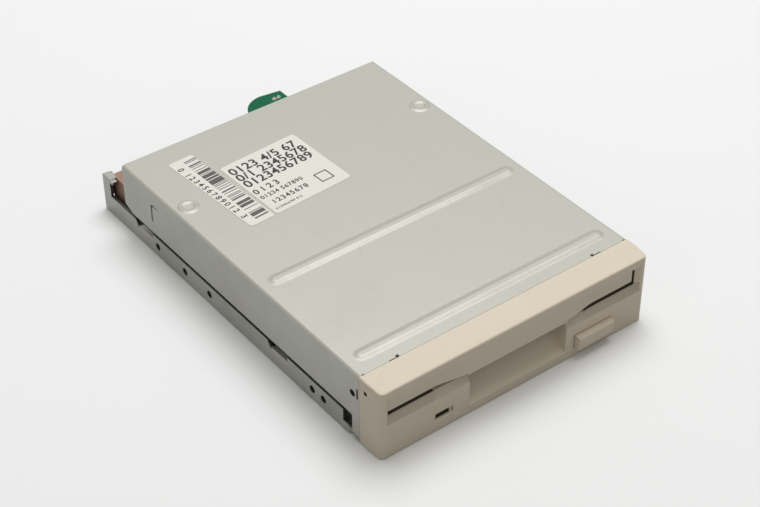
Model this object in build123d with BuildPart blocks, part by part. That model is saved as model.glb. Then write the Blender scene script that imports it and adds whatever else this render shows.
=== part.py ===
from build123d import *
from math import atan2, cos, degrees, radians, sin
import os

# Floppy disk drive, 3.5 inch, one inch high. All lengths are in millimetres.
# X runs to the right as one faces the bezel, Y runs from the front to the rear and Z is up.
# The origin is the centre of the footprint, on the surface that the drive rests on.

os.makedirs("parts", exist_ok=True)

# Whole drive. The disk sets the width, with a band on each side for the sheet metal.
disk_width = 90.0
side_band = 5.8
width = disk_width + 2 * side_band
height = 25.4
depth = 150.0
button_proud = 2.2
overrun = 6.0

# Clearances
sliding_gap = 0.3
running_gap = 0.05
seat_gap = 0.1

# Floor of the chassis, and the heights that the disk takes above it
frame_sheet = 1.0
floor_top = 7.5
seat_rise = 4.7
seat_top = floor_top + seat_rise
holder_drop = 2.5
rail_top = seat_top + holder_drop
holder_inside = 4.3
holder_sheet = 0.6
holder_top_low = rail_top + holder_inside
holder_top = holder_top_low + holder_sheet
disk_gap = 0.25
holder_half = disk_width / 2 + disk_gap + holder_sheet

# Bezel
bezel_depth = 9.5
bezel_wall = 1.8
front_wall = 2.0
taper_depth = 5.6
taper_in = 0.5
bezel_corner = 1.6
bezel_top_round = 0.6
bezel_low_round = 0.5
bezel_hole_depth = 6.65
bezel_hole_height = 21.2
bezel_hole_radius = 0.65
slot_half = 46.95
slot_low = rail_top
slot_high = 5.7
slot_top = slot_low + slot_high
recess_half = 48.3
recess_low_slope = 2.6
recess_top_slope = 1.8
recess_low = slot_low - recess_low_slope
recess_top = slot_top + recess_top_slope
recess_depth = 1.5
wing_start = 31.0
centre_half = 19.0
scoop_left = 30.5
scoop_right = 26.5
scoop_depth = 4.5
pocket_left = 18.2
pocket_right = 18.7
pocket_low = 3.3
pocket_top = 9.8
pocket_round = 1.4
pocket_soft = 0.4
shelf_thickness = 3.6
lamp_left = 31.0
lamp_right = 25.7
lamp_low = 4.8
lamp_high = 6.9
lamp_notch_gap = 0.6
lamp_notch = 0.6
sleeve_wall = 1.0
sleeve_depth = 7.0
cheek_depth = 3.2
lug_width = 1.4
lug_length = 5.5
lug_low = 15.0
lug_high = 20.0

# Dust door
door_side_gap = 0.9
door_low = 16.0
door_centre_low = 15.3
door_set = 0.15
door_back = 2.65
door_hinge_depth = 3.0
door_hinge_height = 21.9
door_barrel_radius = 0.8
door_web = 0.9
door_pivot_radius = 0.6
door_pivot_length = 1.2
door_spring_radius = 0.9
door_spring_length = 5.0
door_spring_left = 8.0

# Eject button
button_left = 22.1
button_right = 36.8
button_low = 3.2
button_high = 8.4
button_gap = 0.25
button_length = 8.4
button_wall = 1.2
button_round = 0.7
stem_width = 5.0
stem_height = 2.6

# Top cover
cover_sheet = 0.8
cover_bend = 1.2
cover_gap = 0.1
cover_short = 14.1
cover_end = depth - cover_short
cover_low = 8.8
cover_corner_rise = 1.7
cover_corner_run = 4.5
leg_depth = 3.4
leg_low = 2.0
bead_width = 4.2
bead_rise = 0.5
front_bead_depth = 16.6
rear_bead_depth = 58.4
bead_half = 46.6
ring_radius = 3.2
ring_width = 1.3
ring_rise = 0.4
ring_depth = depth - 45.8
ring_offset = 45.7
clip_hole_depth = 12.7
clip_hole_height = 17.3
clip_hole_radius = 1.2
clip_slit = 0.5
clip_slit_low = 16.1
clip_slit_high = 19.9
notch_offset = 36.4
notch_size = 1.0
notch_slit = 0.3
notch_slit_end = 40.0
corner_notch_offset = 48.8
lance_start = depth - 36.0
lance_length = 4.4
lance_low = 14.0
lance_high = 19.8
lance_slit = 0.7
lance_proud = 0.5

# Base frame
frame_bend = 0.5
flange_front = 17.4
floor_front = 14.2
floor_end = depth - 16.0
tongue_front = 13.2
tongue_top = 3.3
tongue_fold = 3.0
tongue_bend = 1.8
fold_slit_in = 0.45
fold_slit_width = 1.3
fold_slit_end = 1.6
post_length = 4.5
post_front = depth - post_length
post_top = 14.0
post_return = 2.4
post_tab_length = 3.0
post_tab_width = 1.8
crossbar_top = 2.6
relief_rise = 0.6
relief_length = 8.4
front_relief_start = 32.4
rear_relief_start = depth - 46.2
side_hole_radius = 1.3
side_hole_height = 4.1
side_hole_depths = (27.0, 32.5, 87.0, 101.0, 117.0)
ledge_width = 8.0
ledge_top = 4.3
ledge_length = 6.6
ledge_hole_radius = 1.3
notch_length = 11.2
notch_slope = 3.0
notch_edge_cut = 3.2
front_notch_start = 44.9
rear_notch_start = depth - 30.2
upright_sheet = 1.0
upright_width = 10.0
upright_top = 20.4
clip_post_width = 5.4
clip_post_top = 17.4
clip_post_depth = depth - 35.4
head_opening_left = 10.6
head_opening_right = 20.5
head_opening_front = 78.0
head_opening_rear = depth - 24.0
rotor_opening_radius = 22.5
bracket_reach = 35.5
bracket_half = 9.7
bracket_top = 17.0
bracket_round = 4.0
spring_hook_width = 1.2
spring_hook_top = 10.6
boss_radius = 2.6
board_hole_radius = 1.2

# Disk holder and its pins
holder_front = 12.0
holder_end = 104.0
rail_width = 4.1
holder_head_half = 13.0
holder_head_front = 72.0
holder_window_radius = 15.0
holder_window_length = 30.0
holder_window_width = 8.0
holder_window_offset = 26.0
holder_window_depth = 50.0
lever_notch_inner = 15.6
lever_notch_outer = 25.4
lever_notch_front = 94.8
pin_radius = 1.2
pin_slot_gap = 0.2
pin_length = 2.9
front_pin_depth = 32.0
rear_pin_depth = 86.0

# Slide plate
eject_travel = 5.0
slider_sheet = 0.8
slider_inner = holder_half + sliding_gap
upright_inner = slider_inner + slider_sheet + 2 * sliding_gap
slider_front = 16.0
slider_end = 98.0
slider_low = floor_top + sliding_gap
bridge_gap = 1.0
slider_top = holder_top + bridge_gap + slider_sheet
bridge_end = 36.0
bridge_window_half = 30.0
bridge_window_length = 9.0
strip_front = 31.5
strip_length = 5.0
strip_end = strip_front + strip_length
arm_left = 24.2
arm_width = 6.8
button_tab_depth = 12.5
catch_length = 3.0

# Eject springs
spring_radius = 1.4
spring_wire = 0.4
spring_axis_height = floor_top + 2 * sliding_gap + spring_radius
spring_offset = slider_inner - spring_radius - 2 * sliding_gap
frame_hook_depth = 40.0
slider_hook_depth = 66.0

# Eject lever on the holder
lever_sheet = 0.8
lever_lift = 0.3
lever_pivot_x = -32.0
lever_pivot_depth = 92.0
lever_pivot_radius = 1.5
lever_hub_radius = 4.2
lever_pin_x = -18.0
lever_pin_depth = 97.0
lever_pin_radius = 1.2
lever_pin_drop = 3.4
lever_tail_x = -44.9
lever_tail_width = 3.4
lever_tail_depth = 94.9
lever_arm_width = 4.4
lever_rivet_radius = 2.6
lever_rivet_head = 0.6
lever_spring_radius = 2.3
lever_spring_height = 1.5

# Disk seats and switches
seat_pin_offset = 36.0
front_seat_depth = 24.0
rear_seat_depth = 90.0
seat_radius = 1.9
locate_radius = 1.1
locate_rise = 1.5
switch_width = 5.0
switch_length = 4.2
switch_height = 3.6
switch_offset = 39.2
switch_depth = 17.4
disk_switch_offset = 30.0
plunger_radius = 0.9
plunger_bottom = 9.9
plunger_proud = 1.1
plunger_travel = 1.0

# Spindle motor
spindle_depth = 54.0
rotor_radius = 20.5
rotor_wall = 0.8
rotor_height = 4.4
rotor_low = floor_top - frame_sheet / 2
rotor_top = rotor_low + rotor_height
rotor_step_radius = 15.0
rotor_step = 0.5
magnet_thickness = 2.4
stator_radius = 16.6
stator_ring_radius = 8.4
stator_poles = 12
stator_thickness = 1.4
stator_height = 8.2
pole_width = 1.9
pole_tip_width = 6.4
pole_tip_length = 1.2
coil_width = 3.8
coil_height = 2.6
coil_length = 5.4
bearing_radius = 4.6
bearing_low = 2.4
bearing_high = stator_height + stator_thickness + sliding_gap
bearing_flange_radius = 7.2
bearing_flange = 1.0
shaft_radius = 1.5
shaft_low = 3.4
shaft_rise = 1.0
chuck_radius = 12.6
chuck_height = 2.0
chuck_top = rotor_top + chuck_height
shaft_top = chuck_top + shaft_rise
chuck_chamfer = 0.5
chuck_recess_radius = 9.0
chuck_recess = 0.3
drive_pin_offset = 10.4
drive_pin_radius = 1.0
drive_pin_proud = 1.0
drive_pin_length = 2.1
drive_pin_top = chuck_top + drive_pin_proud
drive_pin_low = drive_pin_top - drive_pin_length
motor_board_half = 34.0
motor_board_front = 22.0
motor_board_end = 86.0
motor_board_thickness = 1.6
motor_board_corner = 4.0
motor_screw_offset = 29.0
motor_screw_front = 30.0
motor_screw_rear = 78.0

# Head drive
head_radius_outer = 39.5
head_lead = 2.6
carriage_length = 26.5
carriage_half = 8.0
carriage_low = 8.2
carriage_top = 11.4
carriage_wall = 1.4
carriage_neck = 5.0
head_block_half = 3.6
media_rise = 1.5
media_height = seat_top + media_rise
head_length = 4.6
rod_x = -14.0
rod_radius = 1.5
rod_front = 73.8
rod_end = 127.6
bush_length = 5.0
bush_radius = 2.3
rod_height = floor_top + sliding_gap + bush_radius
bush_front = 1.0
bush_rear = 20.0
rod_clamp_width = 6.0
rod_clamp_length = 3.0
flag_length = 4.0
flag_thickness = 0.8
flag_left = -20.4
sensor_width = 6.0
sensor_length = 6.4
sensor_height = 5.4
sensor_slot = 2.4
arm_pivot_depth = 21.0
arm_pivot_height = 16.8
arm_raise = 12.0
arm_half = 6.0
arm_thickness = 1.2
arm_tip = 2.6
arm_tip_half = 3.6
arm_pin_radius = 1.0
arm_ear_thickness = 1.4
arm_ear_radius = 2.2
head_pad_thickness = 0.9
arm_spring_half = 2.4
arm_spring_thickness = 0.4
screw_x = 12.0
screw_radius = 1.6
screw_journal_radius = 1.0
screw_journal_length = 2.4
screw_front = 90.4
screw_tail = 6.0
bearing_block_width = 6.0
bearing_block_length = 3.6
bearing_block_top = 12.2
follower_front = 15.0
follower_length = 5.0
follower_gap = 0.25
needle_radius = 0.45
stepper_radius = 6.6
stepper_length = 15.0
stepper_flange = 0.8
stepper_flange_width = 18.6
stepper_boss_radius = 3.0
stepper_boss_length = 2.0
stepper_groove = 0.4
terminal_block_half = 5.6
terminal_block_front = 134.4
terminal_block_end = 143.6
terminal_board_low = 18.2
terminal_board_thickness = 1.6
terminal_board_right = 18.9
terminal_board_front = 131.0
terminal_board_rear = 148.8
terminal_board_slope = 1.2
terminal_arc_start = 11.2
terminal_arc_radius = 9.2
terminal_pin_radius = 0.4
terminal_pin_sides = 12
terminal_pin_pitch = 1.8
terminal_pin_rear = 144.6
terminal_pin_front = 138.0
terminal_pin_right = 16.2
solder_radius = 0.8
solder_rise = 0.5

# Boards and connectors
board_thickness = 1.6
board_low = 2.9
board_front = 104.0
board_notch_rear = 133.2
board_half = 47.0
board_waist = 41.0
board_inset = 2.6
board_end = depth - board_inset
board_motor_gap = 1.5
board_motor_front = 128.0
board_screw_offset = 37.0
board_screw_front = 108.0
board_screw_rear = 131.0
screw_head_radius = 2.4
screw_head = 1.1
chip_thickness = 1.3
controller_size = 14.0
controller_x = -24.0
controller_depth = 116.0
driver_length = 12.0
driver_width = 7.6
driver_x = 28.0
driver_depth = 121.0
capacitor_radius = 2.5
capacitor_height = 3.4
capacitor_x = 43.4
capacitor_depth = 140.4
data_left = -48.2
data_width = 47.0
data_inset = 1.8
data_end = depth - data_inset
data_length = 10.0
data_front = data_end - data_length
data_height = 9.2
data_wall = 1.7
data_wall_side = 2.0
data_floor = 2.0
data_key = 4.6
data_key_depth = 5.0
pin_pitch = 2.54
pin_columns = 17
pin_side = 0.64
pin_setback = 1.4
pin_tail = 1.1
power_left = 26.6
power_width = 12.4
power_height = 6.4
power_pitch = 2.5
power_pins_count = 4
power_wall = 1.0
flex_width = 7.0
flex_thickness = 0.3
flex_left = -9.4
flex_slack = 4.2
flex_socket_length = 3.4
flex_socket_height = 1.6
flex_socket_depth = 110.0
lamp_body_depth = 2.4
lamp_body_length = 4.6
lamp_gap = 0.1
lead_radius = 0.3
lead_pitch = 2.54

# Derived places
front_y = button_proud - (depth + button_proud) / 2
half = width / 2
floor_low = floor_top - frame_sheet
wall_inner = half - frame_sheet
board_top = board_low + board_thickness
head_depth = spindle_depth + head_radius_outer
bracket_depth = head_depth + bracket_reach
stepper_end = bracket_depth + frame_sheet + stepper_length
pin_height = holder_top_low - 2 * pin_radius
lever_low = holder_top + lever_lift
motor_board_top = floor_low
motor_board_low = motor_board_top - motor_board_thickness


def at(distance):
    """The Y of a plane that lies this far behind the bezel's front face."""
    return front_y + distance


def across(distance):
    """A plane square to Y, that far behind the front. It faces forwards."""
    return Plane.XZ.offset(-at(distance))


def block(xs, ys, zs, mode=Mode.ADD):
    """A rectangular block between two X, two distances behind the front and two heights."""
    size = (xs[1] - xs[0], ys[1] - ys[0], zs[1] - zs[0])
    with Locations(((xs[0] + xs[1]) / 2, at((ys[0] + ys[1]) / 2), (zs[0] + zs[1]) / 2)):
        Box(*size, mode=mode)


def bar(x, depths, z, radius, mode=Mode.ADD):
    """A round bar along Y between two distances behind the front."""
    with Locations((x, at((depths[0] + depths[1]) / 2), z)):
        Cylinder(radius, depths[1] - depths[0], rotation=(90, 0, 0), mode=mode)


def post(x, distance, heights, radius, mode=Mode.ADD):
    """An upright round post between two heights."""
    with Locations((x, at(distance), (heights[0] + heights[1]) / 2)):
        Cylinder(radius, heights[1] - heights[0], mode=mode)


def keep(piece, name):
    """Name a finished piece and write it to its own file."""
    piece.part.label = name
    export_step(piece.part, "parts/" + name + ".step")
    print(name, len(piece.part.solids()), round(piece.part.volume, 1))


def wing_line(sign, set_back):
    """The plan line of the front from the centre out to one wing, set back by a small amount."""
    inner = (sign * centre_half, at(set_back))
    outer = (sign * wing_start, at(recess_depth + set_back))
    return Spline(inner, outer, tangents=[(sign, 0), (sign, 0)])


# Bezel: a moulded front with thin walls, open at the rear
with BuildPart() as bezel:
    with BuildSketch(across(bezel_depth)):
        with Locations((0, height / 2)):
            Rectangle(width, height)
    extrude(amount=bezel_depth - taper_depth)
    with BuildSketch(across(taper_depth)):
        with Locations((0, height / 2)):
            Rectangle(width, height)
    with BuildSketch(across(0)):
        with Locations((0, (height - taper_in) / 2)):
            Rectangle(width - 2 * taper_in, height - taper_in)
    loft()
    front_edges = bezel.faces().sort_by(Axis.Y)[0].edges()
    fillet(front_edges.filter_by(Axis.Z), radius=bezel_corner)
    top_front = bezel.edges().filter_by(Axis.X).group_by(Axis.Z)[-2]
    fillet(top_front.sort_by(Axis.Y)[0], radius=bezel_top_round)
    low_front = bezel.edges().filter_by(Axis.X).group_by(Axis.Z)[0]
    fillet(low_front.sort_by(Axis.Y)[0], radius=bezel_low_round)
    # Hollow behind the front wall
    block(
        (-half + bezel_wall, half - bezel_wall),
        (front_wall, bezel_depth + overrun),
        (bezel_wall, height - bezel_wall),
        Mode.SUBTRACT,
    )
    # Shelf under the disk slot, pocket block, door cheeks and sleeves
    block(
        (-half + bezel_wall / 2, half - bezel_wall / 2),
        (front_wall / 2, bezel_depth),
        (slot_low - shelf_thickness, slot_low),
    )
    block(
        (-pocket_left - sleeve_wall, pocket_right + sleeve_wall),
        (front_wall / 2, bezel_depth),
        (bezel_wall / 2, slot_low),
    )
    for side in (-1, 1):
        cheek = sorted((side * slot_half, side * (half - bezel_wall / 2)))
        block(cheek, (front_wall / 2, front_wall + cheek_depth), (slot_top, height - bezel_wall / 2))
    block(
        (button_left - sleeve_wall, button_right + sleeve_wall),
        (front_wall / 2, sleeve_depth),
        (bezel_wall / 2, button_high + sleeve_wall),
    )
    block(
        (-lamp_left - sleeve_wall, -lamp_right + sleeve_wall),
        (front_wall / 2, sleeve_depth),
        (lamp_low - sleeve_wall, lamp_high + sleeve_wall),
    )
    # Lugs that slip inside the cover, with a hole behind each of its side holes
    for side in (-1, 1):
        lug_outer = half - cover_sheet - seat_gap
        lug = sorted((side * (lug_outer - lug_width), side * lug_outer))
        block(lug, (bezel_depth - lug_width, bezel_depth + lug_length), (lug_low, lug_high))
    with BuildSketch(Plane.YZ.offset(-half)):
        with Locations((at(clip_hole_depth), clip_hole_height)):
            Circle(clip_hole_radius)
    extrude(amount=width, mode=Mode.SUBTRACT)
    # Small holes through the side walls
    with BuildSketch(Plane.YZ.offset(-half - overrun)):
        with Locations((at(bezel_hole_depth), bezel_hole_height)):
            Circle(bezel_hole_radius)
    extrude(amount=width + 2 * overrun, mode=Mode.SUBTRACT)
    # Openings through the front
    block((-slot_half, slot_half), (-overrun, bezel_depth + overrun), (slot_low, slot_top), Mode.SUBTRACT)
    pocket_deep = pocket_top - pocket_low
    with BuildSketch(Plane.YZ.offset(-pocket_left)):
        with BuildLine():
            Polyline(
                (at(-overrun), pocket_low),
                (at(0), pocket_low),
                (at(pocket_deep), pocket_top),
                (at(bezel_depth + overrun), pocket_top),
                (at(bezel_depth + overrun), slot_top),
                (at(-overrun), slot_top),
                close=True,
            )
        make_face()
    extrude(amount=pocket_left + pocket_right, mode=Mode.SUBTRACT)
    block((-scoop_left, scoop_right), (-overrun, scoop_depth), (recess_low, slot_top), Mode.SUBTRACT)
    block(
        (button_left, button_right),
        (-overrun, bezel_depth + overrun),
        (button_low, button_high),
        Mode.SUBTRACT,
    )
    block((-lamp_left, -lamp_right), (-overrun, bezel_depth + overrun), (lamp_low, lamp_high), Mode.SUBTRACT)
    notch_left = -lamp_right + lamp_notch_gap
    block((notch_left, notch_left + lamp_notch), (-overrun, front_wall), (lamp_low, lamp_high), Mode.SUBTRACT)
    # Holes for the door's pivots
    with BuildSketch(Plane.YZ.offset(-slot_half - door_pivot_length)):
        with Locations((at(door_hinge_depth), door_hinge_height)):
            Circle(door_pivot_radius + running_gap)
    extrude(amount=2 * (slot_half + door_pivot_length), mode=Mode.SUBTRACT)
    # Round the corners between the pocket and the scoop, and soften the pocket's front edge
    corner_edges = bezel.edges().filter_by(Axis.Y).filter_by(
        lambda edge: abs(edge.center().Z - recess_low) < seat_gap
        and min(abs(edge.center().X + pocket_left), abs(edge.center().X - pocket_right)) < seat_gap
    )
    fillet(corner_edges, radius=pocket_round)
    soft_left = -pocket_left - pocket_round - seat_gap
    soft_right = pocket_right + pocket_round + seat_gap
    pocket_edges = bezel.faces().sort_by(Axis.Y)[0].edges().filter_by(
        lambda edge: soft_left < edge.center().X < soft_right
        and pocket_low - seat_gap < edge.center().Z < recess_low - seat_gap
    )
    fillet(pocket_edges, radius=pocket_soft)

# The wings are recessed around the slot, and run out smoothly towards the centre
wings = []
for side in (-1, 1):
    with BuildPart() as wing:
        with BuildSketch(Plane.XY.offset(recess_low - front_wall)):
            with BuildLine():
                wing_line(side, 0)
                Polyline(
                    (side * wing_start, at(recess_depth)),
                    (side * slot_half, at(recess_depth)),
                    (side * recess_half, at(0)),
                    (side * recess_half, at(-overrun)),
                    (side * centre_half, at(-overrun)),
                    (side * centre_half, at(0)),
                )
            make_face()
        extrude(amount=recess_top - recess_low + 2 * front_wall)
        with BuildSketch(Plane.YZ.offset(-half)):
            with BuildLine():
                Polyline(
                    (at(-overrun), recess_low),
                    (at(0), recess_low),
                    (at(recess_depth), slot_low),
                    (at(recess_depth + seat_gap), slot_low),
                    (at(recess_depth + seat_gap), slot_top),
                    (at(recess_depth), slot_top),
                    (at(0), recess_top),
                    (at(-overrun), recess_top),
                    close=True,
                )
            make_face()
        extrude(amount=width, mode=Mode.INTERSECT)
    wings.append(wing.part)
with BuildPart() as bezel_front:
    add(bezel.part)
    add(wings, mode=Mode.SUBTRACT)
keep(bezel_front, "bezel")

# Dust door: a flat back, a front that follows the bezel, and a hinge barrel behind its top edge
door_half = slot_half - door_side_gap
door_left = slot_half - sliding_gap / 2
door_top = slot_top - door_set
with BuildPart() as dust_door:
    plates = (
        (door_low, door_top, door_left, door_half),
        (door_centre_low, door_low, centre_half, centre_half),
    )
    for low, high, left, right in plates:
        with BuildSketch(Plane.XY.offset(low)):
            with BuildLine():
                if right > wing_start:
                    Polyline((-left, at(recess_depth + door_set)), (-wing_start, at(recess_depth + door_set)))
                    wing_line(-1, door_set)
                    wing_line(1, door_set)
                    Polyline((wing_start, at(recess_depth + door_set)), (right, at(recess_depth + door_set)))
                    Line((-centre_half, at(door_set)), (centre_half, at(door_set)))
                    Polyline(
                        (right, at(recess_depth + door_set)),
                        (right, at(door_back)),
                        (-left, at(door_back)),
                        (-left, at(recess_depth + door_set)),
                    )
                else:
                    Polyline(
                        (-left, at(door_set)),
                        (right, at(door_set)),
                        (right, at(door_back)),
                        (-left, at(door_back)),
                        close=True,
                    )
            make_face()
        extrude(amount=high - low)
    web_front = door_hinge_depth - door_web
    block(
        (-door_half, door_half),
        (web_front, door_hinge_depth),
        (door_top - 2 * door_web, door_hinge_height),
    )
    with BuildSketch(Plane.YZ.offset(-door_half)):
        with Locations((at(door_hinge_depth), door_hinge_height)):
            Circle(door_barrel_radius)
    extrude(amount=2 * door_half)
    # Gap in the barrel for the spring
    block(
        (door_spring_left, door_spring_left + door_spring_length),
        (web_front, door_hinge_depth + overrun),
        (door_top + door_set, door_hinge_height + overrun),
        Mode.SUBTRACT,
    )
    pivot_end = slot_half + door_pivot_length - sliding_gap
    with BuildSketch(Plane.YZ.offset(-pivot_end)):
        with Locations((at(door_hinge_depth), door_hinge_height)):
            Circle(door_pivot_radius)
    extrude(amount=2 * pivot_end)
keep(dust_door, "dust_door")

# Door spring: a small coil round the pin in the barrel's gap
with BuildPart() as door_spring:
    with BuildSketch(Plane.YZ.offset(door_spring_left + sliding_gap)):
        with Locations((at(door_hinge_depth), door_hinge_height)):
            Circle(door_spring_radius)
            Circle(door_pivot_radius + running_gap, mode=Mode.SUBTRACT)
    extrude(amount=door_spring_length - 2 * sliding_gap)
keep(door_spring, "door_spring")

# Eject button: a hollow moulding with a stem to the slide plate
with BuildPart() as eject_button:
    button_middle = (button_left + button_right) / 2
    button_centre = (button_low + button_high) / 2
    with BuildSketch(across(button_length - button_proud)):
        with Locations((button_middle, button_centre)):
            Rectangle(button_right - button_left - 2 * button_gap, button_high - button_low - 2 * button_gap)
    extrude(amount=button_length)
    fillet(eject_button.faces().sort_by(Axis.Y)[0].edges(), radius=button_round)
    with BuildSketch(across(button_length - button_proud)):
        with Locations((button_middle, button_centre)):
            hollow = button_gap + button_wall
            Rectangle(button_right - button_left - 2 * hollow, button_high - button_low - 2 * hollow)
    extrude(amount=button_length - 2 * button_wall, mode=Mode.SUBTRACT)
    stem_middle = arm_left + arm_width / 2
    block(
        (stem_middle - stem_width / 2, stem_middle + stem_width / 2),
        (2 * button_wall - button_proud, button_tab_depth),
        (button_centre - stem_height / 2, button_centre + stem_height / 2),
    )
    block(
        (button_left + button_gap, button_right - button_gap),
        (button_length - button_proud - button_wall, button_length - button_proud),
        (button_low + button_gap, button_high - button_gap),
    )
keep(eject_button, "eject_button")

# Activity lamp behind its window, with two leads to the motor board
lamp_middle = -(lamp_left + lamp_right) / 2
lamp_centre = (lamp_low + lamp_high) / 2
lamp_end = lamp_body_depth + lamp_body_length
with BuildPart() as activity_lamp:
    block(
        (-lamp_left + lamp_gap, -lamp_right - lamp_gap),
        (lamp_body_depth, lamp_end),
        (lamp_low + lamp_gap, lamp_high - lamp_gap),
    )
    fillet(activity_lamp.faces().sort_by(Axis.Y)[0].edges(), radius=lamp_gap * 3)
keep(activity_lamp, "activity_lamp")

with BuildPart() as lamp_leads:
    for side in (-1, 1):
        lead_x = lamp_middle + side * lead_pitch / 2
        bar(lead_x, (lamp_end, motor_board_front), lamp_centre, lead_radius)
keep(lamp_leads, "lamp_leads")

# Top cover: a folded sheet with raised beads and rings
with BuildPart() as top_cover:
    cover_front = bezel_depth + cover_gap
    cover_length = cover_end - cover_front
    with BuildSketch(across(cover_end)):
        with Locations((0, (height + leg_low) / 2)):
            Rectangle(width, height - leg_low)
    extrude(amount=cover_length)
    fillet(top_cover.edges().filter_by(Axis.Y).group_by(Axis.Z)[-1], radius=cover_bend)
    with BuildSketch(across(cover_end)):
        with Locations((0, (height - cover_sheet) / 2)):
            Rectangle(width - 2 * cover_sheet, height - cover_sheet)
    extrude(amount=cover_length, mode=Mode.SUBTRACT)
    # The sides stop short of the chassis, except for a narrow leg beside the bezel
    with BuildSketch(Plane.YZ.offset(-half - overrun)):
        with BuildLine():
            Polyline(
                (at(cover_front + leg_depth), 0),
                (at(cover_front + leg_depth), cover_low),
                (at(cover_end - cover_corner_run), cover_low),
                (at(cover_end), cover_low + cover_corner_rise),
                (at(cover_end + overrun), cover_low + cover_corner_rise),
                (at(cover_end + overrun), 0),
                close=True,
            )
        make_face()
    extrude(amount=width + 2 * overrun, mode=Mode.SUBTRACT)
    # Raised beads across the top
    for bead_depth in (front_bead_depth, rear_bead_depth):
        with BuildSketch(Plane.XY.offset(height)):
            with Locations((0, at(bead_depth))):
                SlotOverall(2 * bead_half, bead_width)
        extrude(amount=bead_rise, taper=45)
        with BuildSketch(Plane.XY.offset(height - cover_sheet)):
            with Locations((0, at(bead_depth))):
                SlotOverall(2 * bead_half - cover_sheet, bead_width - cover_sheet)
        extrude(amount=bead_rise, taper=45, mode=Mode.SUBTRACT)
    # Raised rings near the rear corners
    for side in (-1, 1):
        ring_middle = side * ring_offset + ring_radius - ring_width / 2
        with BuildSketch(Plane.XZ.offset(-at(ring_depth))):
            with BuildLine():
                Polyline(
                    (ring_middle - ring_width / 2, height - cover_sheet / 2),
                    (ring_middle - ring_width / 2, height),
                    (ring_middle - ring_width / 4, height + ring_rise),
                    (ring_middle + ring_width / 4, height + ring_rise),
                    (ring_middle + ring_width / 2, height),
                    (ring_middle + ring_width / 2, height - cover_sheet / 2),
                    close=True,
                )
            make_face()
        revolve(axis=Axis((side * ring_offset, at(ring_depth), 0), (0, 0, 1)))
    # Front clip hole with its slit, on both sides
    with BuildSketch(Plane.YZ.offset(-half - overrun)):
        with Locations((at(clip_hole_depth), clip_hole_height)):
            Circle(clip_hole_radius)
    extrude(amount=width + 2 * overrun, mode=Mode.SUBTRACT)
    for side in (-1, 1):
        outside = sorted((side * (half - 2 * cover_sheet), side * (half + overrun)))
        slit_front = cover_front + clip_slit
        block(outside, (slit_front, slit_front + clip_slit), (clip_slit_low, clip_slit_high), Mode.SUBTRACT)
        # Notches in the front edge, where the cover's hooks were folded
        notch = sorted((side * notch_offset, side * (notch_offset + notch_size)))
        above = (height - 2 * cover_sheet, height + overrun)
        block(notch, (cover_front - overrun, cover_front + notch_size), above, Mode.SUBTRACT)
        slit = sorted((side * notch_offset, side * notch_slit_end))
        block(slit, (cover_front - overrun, cover_front + notch_slit), above, Mode.SUBTRACT)
        corner = sorted((side * corner_notch_offset, side * (corner_notch_offset + notch_size)))
        block(corner, (cover_front - overrun, cover_front + notch_slit), above, Mode.SUBTRACT)
        # Lanced tab: a slit behind a small bulge
        lance_end = lance_start + lance_length
        block(outside, (lance_end, lance_end + lance_slit), (lance_low, lance_high), Mode.SUBTRACT)
        with BuildSketch(Plane.XY.offset(lance_low)):
            with BuildLine():
                wall_x = side * (half - cover_sheet / 2)
                proud_x = side * (half + lance_proud)
                Polyline(
                    (wall_x, at(lance_start)),
                    (side * half, at(lance_start)),
                    (proud_x, at(lance_end)),
                    (wall_x, at(lance_end)),
                    close=True,
                )
            make_face()
        extrude(amount=lance_high - lance_low)
keep(top_cover, "top_cover")

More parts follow.
